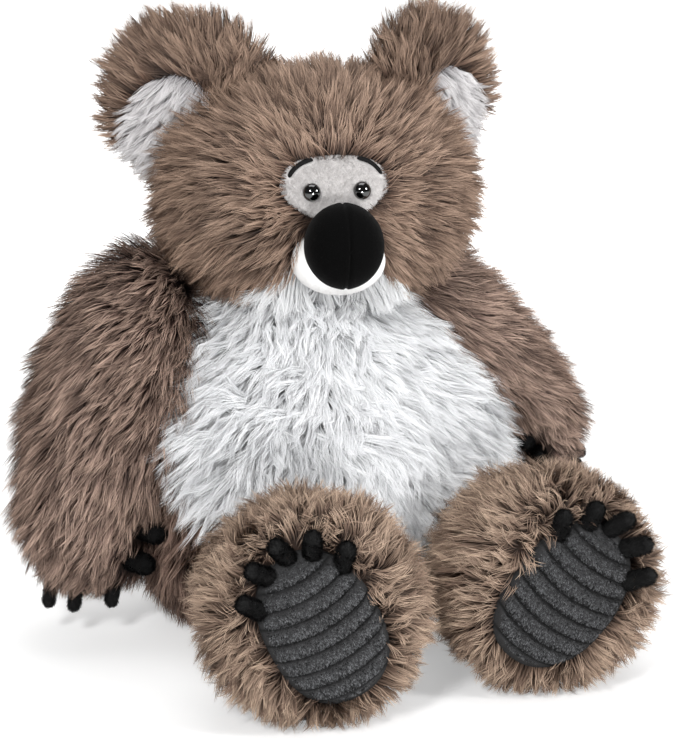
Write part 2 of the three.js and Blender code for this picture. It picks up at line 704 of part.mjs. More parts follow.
// How far forward the left arm's surface lies, at a place across it and a rise above its end
function armFront(side, x, rise) {
  const height = rise / ARM_HALF_LENGTH[side] - 1;
  const girth = standShare(-height, ARM_POWER) * shareCurve(ARM_SWELL_SHARES)(height);
  const aside = (x - ARM_OUT[side]) / (ARM_HALF_THICKNESS[side] * girth);
  return ARM_HALF_WIDTH * girth * standShare(Math.abs(aside), ROUND_POWER);
}

// Hand digits in the left arm's frame: where each one's middle lies and the way it points
function handDigits(side) {
  const handEnd = ARM_TOP_RISE - 2 * ARM_HALF_LENGTH[side];
  const fingers = FINGER_OUT_SHARES.map((outShare, i) => {
    const x = outShare * ARM_OUT[side];
    const y = FINGER_BACK_SHARES[i] * ARM_HALF_WIDTH;
    const rise = FINGER_LENGTH / 2 - FINGER_REACHES[i] + FINGER_RADIUS;
    return {
      radius: FINGER_RADIUS,
      length: FINGER_LENGTH,
      centre: new THREE.Vector3(x, y, handEnd + rise),
      direction: new THREE.Vector3(0, -FINGER_FORWARD_TILT, -1).normalize(),
    };
  });
  const thumbYaw = radians(THUMB_YAW_DEGREES);
  const thumbX = THUMB_OUT_SHARES[side] * ARM_OUT[side];
  const thumbs = THUMB_RISES[side].map((rise) => ({
    radius: THUMB_RADIUS,
    length: THUMB_LENGTH,
    centre: new THREE.Vector3(thumbX, -armFront(side, thumbX, rise) - THUMB_STAND, handEnd + rise),
    direction: new THREE.Vector3(Math.sin(thumbYaw), -Math.cos(thumbYaw), 0),
  }));
  return [...fingers, ...thumbs];
}

function addArm(side, sign) {
  const outside = slab(REACH, REACH, REACH, REACH / 2, 0, 0);
  const shoulder = arms[side].parent;
  const headHere = forSide(inFrame(headSweep, koala, shoulder), sign);
  const rest = ARM_REST_SWING_DEGREES[side];
  const headPasses = swept(
    headHere,
    X_AXIS,
    -ARM_BACK_LIMIT_DEGREES + rest,
    ARM_FORWARD_LIMIT_DEGREES + rest,
    ARM_SWING_STEPS,
  );
  const digits = handDigits(side);
  const sockets = digits.map((d) => digit(d.radius, d.length, d.centre, d.direction, SEAM_GAP));
  const arm = cutBy(armForm(side).intersect(outside), [headPasses, ...sockets]);
  addPiece(arms[side], "arm_" + side, forSide(mainBody(arm), sign), materials.fur);
  digits.forEach((d, i) => {
    const solid = digit(d.radius, d.length, d.centre, d.direction);
    addPiece(arms[side], `claw_${side}_${i + 1}`, forSide(solid, sign), materials.blackPile);
  });
}

// Toes in the left foot's frame, fanned along the top edge of the pad
function toeSolid(i, grow = 0) {
  const turn = radians(THREE.MathUtils.lerp(TOE_FIRST_DEGREES, TOE_LAST_DEGREES, i / (TOE_COUNT - 1)));
  const x = (PAD_HALF_WIDTH + TOE_EDGE_OFFSET) * Math.cos(turn);
  const z = (PAD_HALF_HEIGHT + TOE_EDGE_OFFSET) * Math.sin(turn);
  const share = Math.hypot(x / FOOT_HALF[0], z / FOOT_HALF[1]);
  const centre = new THREE.Vector3(x, -FOOT_HALF[2] * standShare(share, BLUNT_POWER), z);
  const aside = TOE_ASIDE_SHARES[i];
  const direction = new THREE.Vector3(
    Math.cos(turn) + aside * Math.sin(turn),
    -TOE_FORWARD_SHARE,
    Math.sin(turn) - aside * Math.cos(turn),
  ).normalize();
  return digit(TOE_RADIUS, TOE_LENGTH, centre, direction, grow);
}

function padPrism(grow) {
  return frontPrism(oval(PAD_HALF_WIDTH + grow, PAD_HALF_HEIGHT + grow, PLUMP_POWER));
}

// Sole pad: a domed oval let into the foot, with ribs across it
function padSolid() {
  const whole = footForm(-PAD_DEPTH).subtract(footForm(-PAD_DEPTH - PAD_THICKNESS)).intersect(padPrism(0));
  const pitch = (2 * PAD_HALF_HEIGHT) / PAD_RIB_COUNT;
  const slabs = Array.from({ length: PAD_RIB_COUNT - 1 }, (unused, i) =>
    slab(REACH, REACH, PAD_GROOVE_WIDTH, 0, -REACH / 2, -PAD_HALF_HEIGHT + (i + 1) * pitch),
  );
  const grooves = joined(slabs).subtract(footForm(-PAD_DEPTH - PAD_GROOVE_DEPTH));
  return whole.subtract(grooves);
}

function addLeg(side, sign) {
  const floor = slab(REACH, REACH, REACH, 0, 0, -REACH / 2);
  const floorHere = forSide(inFrame(floor, koala, feet[side]), sign);
  const padPocket = padPrism(SEAM_GAP).subtract(footForm(-PAD_DEPTH - PAD_THICKNESS - SEAM_GAP));
  const toes = Array.from({ length: TOE_COUNT }, (unused, i) => i);
  const toeSockets = toes.map((i) => toeSolid(i, SEAM_GAP));
  const foot = cutBy(footForm(), [floorHere, padPocket, ...toeSockets]);
  const footInLeg = inFrame(forSide(footForm(SEAM_GAP), sign), feet[side], legs[side]);
  const root = inFrame(legRoot(), legs[side].parent, legs[side]);
  const leg = legTube().add(root).subtract(footInLeg);
  const pad = cutBy(padSolid(), toeSockets);
  addPiece(legs[side], "leg_" + side, mainBody(leg), materials.fur);
  addPiece(feet[side], "foot_" + side, forSide(mainBody(foot), sign), materials.fur);
  addPiece(feet[side], "sole_pad_" + side, forSide(mainBody(pad), sign), materials.ribbedPile);
  toes.forEach((i) => {
    addPiece(feet[side], `toe_${side}_${i + 1}`, forSide(toeSolid(i), sign), materials.blackPile);
  });
}

addTorso();
addHead();
for (const [side, sign] of Object.entries(signs)) {
  addArm(side, sign);
  addLeg(side, sign);
}

export default koala;
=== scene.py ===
"""A seated plush koala: long pile fur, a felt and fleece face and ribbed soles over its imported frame."""

import logging
import math
from contextlib import contextmanager
from dataclasses import dataclass, field, replace
from enum import Enum
from typing import Iterable, Iterator, Sequence

import bmesh
import bpy
import numpy as np
from mathutils import Matrix, Vector


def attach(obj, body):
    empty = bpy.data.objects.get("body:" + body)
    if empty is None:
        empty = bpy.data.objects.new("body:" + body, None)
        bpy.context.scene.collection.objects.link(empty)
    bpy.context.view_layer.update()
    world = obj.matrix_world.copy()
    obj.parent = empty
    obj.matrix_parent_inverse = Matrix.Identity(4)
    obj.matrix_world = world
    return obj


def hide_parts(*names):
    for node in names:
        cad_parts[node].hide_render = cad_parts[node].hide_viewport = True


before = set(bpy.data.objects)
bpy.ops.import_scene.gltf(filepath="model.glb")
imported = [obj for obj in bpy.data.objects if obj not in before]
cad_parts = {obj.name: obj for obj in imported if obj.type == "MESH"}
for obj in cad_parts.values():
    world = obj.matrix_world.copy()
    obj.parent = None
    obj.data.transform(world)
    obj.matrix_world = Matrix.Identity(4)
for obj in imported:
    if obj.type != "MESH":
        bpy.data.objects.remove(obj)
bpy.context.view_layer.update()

log = logging.getLogger("koala")

MM = 0.001
BAKE_MAP = "OFBake"
MOST_STRANDS = 39000
SEEDS = {
    "head": 100, "chin": 120, "face": 130, "ear": 200, "lining": 210, "torso": 300, "belly": 320,
    "arm": 400, "leg": 500, "leg_root": 510, "foot": 520, "sole": 560,
}

Points = np.ndarray
Faces = list[tuple[int, ...]]
Triple = tuple[float, float, float]
Stops = tuple[tuple[float, tuple[float, ...]], ...]


def colour(code: str) -> tuple[float, ...]:
    """Turns a written colour into the linear one that a shader takes.

    Args:
        code: six hexadecimal digits, red first.

    Returns:
        The linear red, green and blue, and an alpha of 1.
    """
    parts = [int(code[i : i + 2], 16) / 255 for i in (0, 2, 4)]
    low, knee, slope, lift, power = 12.92, 0.04045, 1.055, 0.055, 2.4
    return (*(p / low if p <= knee else ((p + lift) / slope) ** power for p in parts), 1.0)


def stops(codes: str, *between: float) -> Stops:
    """Written colours along a ramp from 0 to 1, the inner ones at the places given."""
    return tuple(zip((0.0, *between, 1.0), map(colour, codes.split())))


# Node trees


class Term:
    """A node's output that takes part in sums, in a material or in a geometry tree."""

    def __init__(self, weaver: "Weaver", socket: bpy.types.NodeSocket) -> None:
        """Holds the socket and the tree that it belongs to."""
        self.weaver = weaver
        self.socket = socket

    @staticmethod
    def is_vector(value: "Term | float | Sequence[float]") -> bool:
        """Whether a value is a vector or a colour, not one number."""
        return value.socket.type in {"VECTOR", "RGBA"} if isinstance(value, Term) else not np.isscalar(value)

    def step(
        self, operation: str, other: "Term | float | Sequence[float] | None" = None, swap: bool = False
    ) -> "Term":
        """Adds the Math or Vector Math node that an operation stands for.

        Args:
            operation: the node's operation.
            other: the second value, where it takes two.
            swap: whether the second value comes first.

        Returns:
            The result.
        """
        pair = [self] if other is None else [other, self] if swap else [self, other]
        vectors = [self.is_vector(p) for p in pair]
        if not any(vectors):
            return self.weaver.node("ShaderNodeMath", {"operation": operation}, dict(enumerate(pair)))
        if operation == "MULTIPLY" and not all(vectors):
            vector, factor = pair if vectors[0] else pair[::-1]
            sockets = {0: vector, "Scale": factor}
            return self.weaver.node("ShaderNodeVectorMath", {"operation": "SCALE"}, sockets)
        pair = [p if vector or isinstance(p, Term) else (p, p, p) for p, vector in zip(pair, vectors)]
        out = "Value" if operation in {"DOT_PRODUCT", "LENGTH"} else None
        return self.weaver.node("ShaderNodeVectorMath", {"operation": operation}, dict(enumerate(pair)), out)

    def __add__(self, other: "Term | float") -> "Term":
        """Sum."""
        return self.step("ADD", other)

    def __sub__(self, other: "Term | float | Sequence[float]") -> "Term":
        """Difference."""
        return self.step("SUBTRACT", other)

    def __rsub__(self, other: "Term | float") -> "Term":
        """Difference from a number."""
        return self.step("SUBTRACT", other, swap=True)

    def __mul__(self, other: "Term | float") -> "Term":
        """Product."""
        return self.step("MULTIPLY", other)

    def __pow__(self, other: float) -> "Term":
        """Power."""
        return self.step("POWER", other)

    __radd__ = __add__

    def at_least(self, other: "Term | float") -> "Term":
        """The larger of two."""
        return self.step("MAXIMUM", other)

    def at_most(self, other: "Term | float") -> "Term":
        """The smaller of two."""
        return self.step("MINIMUM", other)

    def sine(self) -> "Term":
        """The sine."""
        return self.step("SINE")

    def cosine(self) -> "Term":
        """The cosine."""
        return self.step("COSINE")

    def dot(self, other: "Term") -> "Term":
        """Dot product of two vectors."""
        return self.step("DOT_PRODUCT", other)

    def cross(self, other: "Term") -> "Term":
        """Cross product of two vectors."""
        return self.step("CROSS_PRODUCT", other)

    def unit(self) -> "Term":
        """The vector at length 1."""
        return self.step("NORMALIZE")

    def flat_on(self, normal: "Term") -> "Term":
        """The part of the vector that lies in the surface, at length 1."""
        return (self - normal * self.dot(normal)).unit()

    def beside(self, key: int | str) -> "Term":
        """Another output of the same node."""
        return Term(self.weaver, self.weaver.find(self.socket.node.outputs, key))


class Weaver:
    """Adds nodes to one tree."""

    def __init__(self, tree: bpy.types.NodeTree) -> None:
        """Starts on a tree."""
        self.tree = tree

    @staticmethod
    def find(sockets: Iterable[bpy.types.NodeSocket], key: int | str) -> bpy.types.NodeSocket:
        """Finds a socket by its place, or by its name among those in use."""
        if isinstance(key, int):
            return list(sockets)[key]
        named = [s for s in sockets if s.name == key]
        return next((s for s in named if s.enabled), named[0])

    def node(
        self,
        kind: str,
        settings: dict | None = None,
        sockets: dict | None = None,
        out: int | str | None = None,
    ) -> Term:
        """Adds a node.

        Args:
            kind: the node's type.
            settings: its settings, a ramp's stops as "stops", set before its sockets.
            sockets: values or links of its sockets, by place or name.
            out: the output wanted, by place or name; the first in use where it is left out.

        Returns:
            The output wanted.
        """
        made = self.tree.nodes.new(kind)
        for key, value in (settings or {}).items():
            if key == "stops":
                self._set_stops(made.color_ramp, value)
            else:
                setattr(made, key, value)
        for key, value in (sockets or {}).items():
            socket = self.find(made.inputs, key)
            if isinstance(value, Term):
                self.tree.links.new(value.socket, socket)
            else:
                socket.default_value = value
        if not len(made.outputs):
            return Term(self, made.inputs[0])
        wanted = next(s for s in made.outputs if s.enabled) if out is None else self.find(made.outputs, out)
        return Term(self, wanted)

    @staticmethod
    def _set_stops(ramp: bpy.types.ColorRamp, wanted: Stops) -> None:
        """Sets a ramp's stops."""
        while len(ramp.elements) > 1:
            ramp.elements.remove(ramp.elements[-1])
        for i, (place, shade) in enumerate(wanted):
            stop = ramp.elements[0] if i == 0 else ramp.elements.new(place)
            stop.position = place
            stop.color = shade

    def ramp(self, value: Term, wanted: Stops) -> Term:
        """A colour ramp over a value."""
        return self.node("ShaderNodeValToRGB", {"stops": wanted}, {"Fac": value})

    def mix(self, share: Term | float, low: Term | tuple, high: Term | tuple) -> Term:
        """A mix of two colours."""
        return self.node("ShaderNodeMix", {"data_type": "RGBA"}, {0: share, 6: low, 7: high}, 2)

    def noise(self, place: Term, scale: Term | float, detail: float, out: int = 0) -> Term:
        """Noise over a place, its colour where out is 1."""
        sockets = {"Vector": place, "Scale": scale, "Detail": detail}
        return self.node("ShaderNodeTexNoise", None, sockets, out)

    def split(self, vector: Term) -> tuple[Term, Term, Term]:
        """A vector's three parts."""
        first = self.node("ShaderNodeSeparateXYZ", None, {0: vector}, 0)
        return first, first.beside(1), first.beside(2)

    def join(self, *parts: Term) -> Term:
        """A vector from its parts."""
        return self.node("ShaderNodeCombineXYZ", None, dict(enumerate(parts)))

    def number(self, name: str) -> Term:
        """A named number on the geometry."""
        return self.node("GeometryNodeInputNamedAttribute", {"data_type": "FLOAT"}, {"Name": name}, 0)

    def vector(self, name: str) -> Term:
        """A named vector on the geometry."""
        return self.node("GeometryNodeInputNamedAttribute", {"data_type": "FLOAT_VECTOR"}, {"Name": name}, 0)

    @staticmethod
    def kind(value: Term) -> str:
        """The kind of attribute that a value makes."""
        return "FLOAT_VECTOR" if Term.is_vector(value) else "FLOAT"

    def store(self, geometry: Term, **values: Term) -> Term:
        """Stores named values at the geometry's points and gives it back."""
        for name, value in values.items():
            settings = {"data_type": self.kind(value), "domain": "POINT"}
            sockets = {"Geometry": geometry, "Name": name, "Value": value}
            geometry = self.node("GeometryNodeStoreNamedAttribute", settings, sockets)
        return geometry

    def move(self, geometry: Term, place: Term) -> Term:
        """Sets where the geometry's points lie."""
        return self.node("GeometryNodeSetPosition", None, {"Geometry": geometry, "Position": place})

    def chance(self, seed: int, low: float = 0.0, high: float = 1.0) -> Term:
        """A random number for each point."""
        sockets = {"Min": low, "Max": high, "Seed": seed}
        return self.node("FunctionNodeRandomValue", {"data_type": "FLOAT"}, sockets)


def cleared(owner: bpy.types.Material | bpy.types.World) -> Weaver:
    """Empties a material's or a world's tree and starts on it."""
    owner.use_nodes = True
    owner.node_tree.nodes.clear()
    return Weaver(owner.node_tree)


# Finishes


@dataclass(frozen=True)
class Finish:
    """What every finish has: a name, a slot in the library and how it takes light."""

    name: str
    slot: str
    roughness: float
    specular: float = field(default=0.3, kw_only=True)

    def sockets(self, weaver: Weaver) -> dict[str, object]:
        """What the shader is fed with.

        Args:
            weaver: the material's tree; not used here.

        Returns:
            The values or links of the shader's sockets by name.
        """
        return {"Roughness": self.roughness, "Specular IOR Level": self.specular}

    def material(self) -> bpy.types.Material:
        """The finish as a material, made once, under a name that no solid's material has."""
        name = f"dressed_{self.name}"
        made = bpy.data.materials.get(name)
        if made is None:
            made = bpy.data.materials.new(name)
            weaver = cleared(made)
            shader = weaver.node("ShaderNodeBsdfPrincipled", None, self.sockets(weaver))
            weaver.node("ShaderNodeOutputMaterial", None, {"Surface": shader})
        return made


@dataclass(frozen=True)
class Cloth(Finish):
    """Two close shades that a fine and a broad grain mix, with a bump to match."""

    main: str
    shade: str
    grain: float = field(default=900.0, kw_only=True)
    depth: float = field(default=0.0004, kw_only=True)
    sheen: float = field(default=0.0, kw_only=True)
    coat: float = field(default=0.0, kw_only=True)

    def sockets(self, weaver: Weaver) -> dict[str, object]:
        """Mixes the shades by the grain; the arguments and the result are as in Finish."""
        place = weaver.node("ShaderNodeTexCoord", out="Object")
        fine = weaver.noise(place, self.grain, 3.0)
        broad = weaver.noise(place, self.grain / 12, 2.0)
        share = (fine * 0.65 + broad * 0.55 - 0.1).at_least(0.0).at_most(1.0)
        return {
            **super().sockets(weaver),
            "Base Color": weaver.mix(share, colour(self.shade), colour(self.main)),
            "Roughness": (self.roughness - 0.08 + fine * 0.16).at_most(1.0),
            "Sheen Weight": self.sheen,
            "Sheen Roughness": 0.45,
            "Coat Weight": self.coat,
            "Coat Roughness": 0.05,
            "Normal": self.bump(weaver, fine),
        }

    def bump(self, weaver: Weaver, height: Term) -> Term:
        """The surface's normal under a bump of the cloth's depth."""
        sockets = {"Height": height, "Strength": 1.0, "Distance": self.depth}
        return weaver.node("ShaderNodeBump", None, sockets)


@dataclass(frozen=True)
class Ribbed(Cloth):
    """Ribbed short pile with painted shade in its grooves and darker towards its edge, with a fine knit
    across each rib.
    """

    knit: float = field(default=1500.0, kw_only=True)

    def sockets(self, weaver: Weaver) -> dict[str, object]:
        """Mixes the shades by the painted groove shade held in the rib attribute; the arguments and the
        result are as in Finish.
        """
        place = weaver.node("ShaderNodeTexCoord", out="Object")
        height = weaver.node("ShaderNodeAttribute", {"attribute_name": "rib"}, out="Fac")
        fine = weaver.noise(place, self.grain, 4.0)
        loops = weaver.node("ShaderNodeTexVoronoi", None, {"Vector": place, "Scale": self.knit}, "Distance")
        # The shade colour falls where rib is low: painted shade in the grooves, and darker towards the pad's
        # edge.
        share = (height * (fine * 0.9 + loops * 0.5 + 0.1)).at_most(1.0)
        base = weaver.mix(share, colour(self.shade), colour(self.main))
        given = Finish.sockets(self, weaver)
        return {**given, "Base Color": base, "Normal": self.bump(weaver, fine + loops * 0.6)}


@dataclass(frozen=True)
class Fur(Finish):
    """Pile whose strands run from a dark root to a light tip, each strand lighter or darker than the next;
    the dark roots are partly the pile's own colour and partly painted shade deep in the pile.
    """

    dark: Stops
    light: Stops
    streak: float = field(default=0.22, kw_only=True)

    def sockets(self, weaver: Weaver) -> dict[str, object]:
        """Colours a strand from root to tip; the arguments and the result are as in Finish."""
        strand, along, _ = weaver.split(weaver.node("ShaderNodeUVMap", {"uv_map": BAKE_MAP}))
        # The ramp along each strand darkens towards the root: partly the pile's own colour, partly painted
        # shade deep in the pile.
        base = weaver.mix(strand, weaver.ramp(along, self.dark), weaver.ramp(along, self.light))
        line = {"W": strand * 400.0, "Detail": 1.0}
        flecks = weaver.node("ShaderNodeTexNoise", {"noise_dimensions": "1D"}, line, 0)
        base = base * (flecks * (2 * self.streak) + (1.0 - self.streak))
        return {**super().sockets(weaver), "Base Color": base}


class Stuff(Enum):
    """The cloths and fittings that the toy is made of."""

    HEAD_FUR = Fur(
        "head_fur", "brown_fur", 0.62, stops("100a08 2f221b 604a3d", 0.4), stops("221813 664e40 bfa38e", 0.4)
    )
    BODY_FUR = Fur(
        "body_fur", "brown_fur", 0.62, stops("100b0a 33251f 644d43", 0.4), stops("241a16 6b5248 c4a694", 0.4)
    )
    ARM_FUR = Fur(
        "arm_fur", "brown_fur", 0.62, stops("0e0908 291d19 604b40", 0.4), stops("211814 6a524a d6b9a6", 0.4)
    )
    FOOT_FUR = Fur(
        "foot_fur", "brown_fur", 0.62, stops("150f0b 413127 786052", 0.4), stops("2a1f18 755f50 d8bea6", 0.4)
    )
    # The grey roots of the white pile are painted shade deep in the pile; its tips carry the fur's own white.
    WHITE_FUR = Fur(
        "white_fur", "white_fur", 0.6,
        stops("707275 bcbdbf e4e5e7", 0.35), stops("a6a8ab ebeced fbfcfd", 0.3), streak=0.1,
    )
    # A darker copy of the white fur: painted shade for the lining, which sits in shade inside the ear.
    LINING_FUR = Fur(
        "lining_fur", "white_fur", 0.6,
        stops("6f6c70 a8a5a7 cfcccc", 0.35), stops("8d8a8d cbc8c9 f0eeee", 0.35), streak=0.1,
    )
    GREY_NAP = Fur(
        "grey_nap", "grey_short_pile", 0.8, stops("b2afae c5c1c0"), stops("c0bcbb dcd9d7"),
        specular=0.2, streak=0.04,
    )
    BLACK_NAP = Fur(
        "black_nap", "black_short_pile", 0.8, stops("050505 0e0e0e"), stops("0a0a0a 2c2c2c"),
        specular=0.2, streak=0.4,
    )
    SOLE_NAP = Fur(
        "sole_nap", "charcoal_ribbed_pile", 0.8, stops("060606 151516"), stops("1c1c1d 88898c"),
        specular=0.2, streak=0.4,
    )
    BROWN_BACKING = Cloth("brown_backing", "brown_fur", 0.95, "3a2c25", "241a15", grain=600.0)
    WHITE_BACKING = Cloth("white_backing", "white_fur", 0.95, "b9b9bc", "9a9a9e", grain=600.0)
    GREY_CLOTH = Cloth("grey_cloth", "grey_short_pile", 0.95, "d0cdcc", "b9b6b5")
    FLEECE = Cloth("fleece", "white_fleece", 0.9, "fdfdfc", "f0f0ef", grain=1400.0, sheen=0.25)
    NOSE_CLOTH = Cloth(
        "nose_cloth", "black_short_pile", 0.9, "040404", "020202", grain=1500.0, sheen=0.03, specular=0.06
    )
    BLACK_CLOTH = Cloth("black_cloth", "black_short_pile", 0.9, "0c0b0c", "060606", grain=1200.0)
    FELT = Cloth("felt", "black_felt", 0.95, "111011", "080808", grain=1800.0)
    # Its near-black shade colour is the painted shade of the sole's grooves.
    SOLE_CLOTH = Ribbed("sole_cloth", "charcoal_ribbed_pile", 0.85, "3f3f40", "080808", grain=1100.0)
    CALICO = Cloth("calico", "calico", 0.9, "cfc8ba", "b4ac9c", grain=1300.0)
    GLOSS = Cloth(
        "eye_gloss", "eye_gloss", 0.04, "030303", "020202", grain=200.0, depth=0.0, specular=1.0, coat=1.0
    )
    MOULDED = Cloth("washer_plastic", "washer_plastic", 0.5, "e6e6e2", "dadad4", grain=300.0, depth=0.0001)


# Forms


def step_up(value: Points, low: float, high: float) -> Points:
    """A smooth step from 0 at low to 1 at high."""
    t = np.clip((value - low) / (high - low), 0, 1)
    return t * t * (3 - 2 * t)


def oval_share(x: Points, z: Points, half_x: float, half_z: float, power: float) -> Points:
    """How far out a place lies in an oval: 1 on its outline."""
    return (np.abs(x / half_x) ** power + np.abs(z / half_z) ** power) ** (1 / power)


def quarters(names: tuple[str, str], first: Points, left: Points) -> dict[str, Points]:
    """The shares of a cloth's four quarters, split in two ways.

    Args:
        names: what the first split's two halves are called.
        first: the share of the first half.
        left: the share of the left half.

    Returns:
        Each quarter's share by its name.
    """
    halves = zip(names, (first, 1 - first))
    sides = {"left": left, "right": 1 - left}
    return {f"{name}_{side}": half * share for name, half in halves for side, share in sides.items()}


def egg_share(points: Points, half: Sequence[float]) -> Points:
    """How far out a place lies in an egg: 1 on its surface."""
    return np.linalg.norm(points / np.asarray(half), axis=1)


def share_curve(shares: Sequence[float], height: Points) -> Points:
    """Reads a smooth curve through evenly spaced shares.

    Args:
        shares: the curve's values, the first at -1 and the last at 1.
        height: where to read it.

    Returns:
        The value at each height.
    """
    values = np.asarray(shares, float)
    last = len(values) - 1
    place = np.clip((np.asarray(height) + 1) / 2, 0, 1) * last
    low = np.minimum(place.astype(int), last)
    t = place - low
    p0, p1 = values[np.maximum(low - 1, 0)], values[low]
    p2, p3 = values[np.minimum(low + 1, last)], values[np.minimum(low + 2, last)]
    v0, v1 = (p2 - p0) / 2, (p3 - p1) / 2
    return (2 * p1 - 2 * p2 + v0 + v1) * t**3 + (-3 * p1 + 3 * p2 - 2 * v0 - v1) * t**2 + v0 * t + p1


def lathe(profile: Sequence[tuple[float, float]], sides: int) -> tuple[Points, Faces]:
    """Turns a profile about Z into a closed body.

    Args:
        profile: (radius, height) pairs from the bottom pole to the top pole.
        sides: how many columns.

    Returns:
        The body's vertices and its faces, facing outwards.
    """
    turn = np.arange(sides) / sides * 2 * np.pi
    inner = profile[1:-1]
    rows = [(0.0, 0.0, profile[0][1])]
    rows += [(r * math.cos(t), r * math.sin(t), h) for r, h in inner for t in turn]
    rows.append((0.0, 0.0, profile[-1][1]))
    end = len(rows) - 1
    faces: Faces = []
    for j in range(sides):
        k = (j + 1) % sides
        faces += [(0, 1 + k, 1 + j), (end, end - sides + j, end - sides + k)]
        starts = [1 + i * sides for i in range(len(inner) - 1)]
        faces += [(a + j, a + k, a + sides + k, a + sides + j) for a in starts]
    return np.array(rows), faces


def ball_grid(sides: int, rings: int) -> tuple[Points, Faces]:
    """A unit ball with one vertex at each pole.

    Args:
        sides: how many columns.
        rings: how many bands from pole to pole.

    Returns:
        Its vertices and its faces, facing outwards.
    """
    turn = np.arange(sides) / sides * 2 * np.pi
    circle = list(zip(np.cos(turn), np.sin(turn)))
    rows = [(0.0, 0.0, 1.0)]
    for i in range(1, rings):
        fall = math.pi * i / rings
        rows += [(math.sin(fall) * c, math.sin(fall) * s, math.cos(fall)) for c, s in circle]
    rows.append((0.0, 0.0, -1.0))
    faces: Faces = []
    end = len(rows) - 1
    for j in range(sides):
        k = (j + 1) % sides
        faces += [(0, 1 + j, 1 + k), (end, end - sides + k, end - sides + j)]
        starts = [1 + i * sides for i in range(rings - 2)]
        faces += [(a + j, a + sides + j, a + sides + k, a + k) for a in starts]
    return np.array(rows), faces


@dataclass(frozen=True)
class Place:
    """Where a sewn piece's own frame sits in the toy's frame, mirrored for the right side."""

    matrix: Matrix
    mirrored: bool = False

    @property
    def flip(self) -> Triple:
        """What mirroring does to each axis."""
        return (-1.0, 1.0, 1.0) if self.mirrored else (1.0, 1.0, 1.0)

    def out(self, points: Points | Triple) -> Points:
        """Carries one or more points from the piece's frame to the toy's, in millimetres."""
        m = np.array(self.matrix)
        return (np.asarray(points, float) * self.flip) @ m[:3, :3].T + m[:3, 3]

    def back(self, points: Points) -> Points:
        """Carries points from the toy's frame to the piece's, in millimetres."""
        m = np.array(self.matrix.inverted())
        return (np.asarray(points, float) @ m[:3, :3].T + m[:3, 3]) * self.flip

    def way(self, vectors: Points | Triple) -> Points:
        """Turns one or more directions from the piece's frame to the toy's."""
        return (np.asarray(vectors, float) * self.flip) @ np.array(self.matrix)[:3, :3].T


def turned(degrees: float, axis: str) -> Matrix:
    """A turn about one axis."""
    return Matrix.Rotation(math.radians(degrees), 4, axis)


def at(x: float, y: float, z: float) -> Matrix:
    """A move."""
    return Matrix.Translation((x, y, z))


def new_mesh(name: str, points: Points, faces: Faces, place: Place | None = None) -> bpy.types.Mesh:
    """Makes a smooth mesh in metres in the toy's frame, its faces outwards on either side.

    Args:
        name: the mesh's name.
        points: its vertices in millimetres, in the piece's frame.
        faces: its faces.
        place: where the piece's frame sits.

    Returns:
        The mesh.
    """
    placed = place.out(points) if place else np.asarray(points, float)
    if place and place.mirrored:
        faces = [tuple(reversed(f)) for f in faces]
    mesh = bpy.data.meshes.new(name)
    mesh.from_pydata((placed * MM).tolist(), [], [tuple(int(i) for i in f) for f in faces])
    smooth(mesh).update()
    return mesh


def smooth(mesh: bpy.types.Mesh) -> bpy.types.Mesh:
    """Shades every face of a mesh smooth."""
    mesh.polygons.foreach_set("use_smooth", np.ones(len(mesh.polygons), bool))
    return mesh


def places_of(mesh: bpy.types.Mesh) -> Points:
    """A mesh's vertices in millimetres."""
    found = np.empty(len(mesh.vertices) * 3)
    mesh.vertices.foreach_get("co", found)
    return found.reshape(-1, 3) / MM


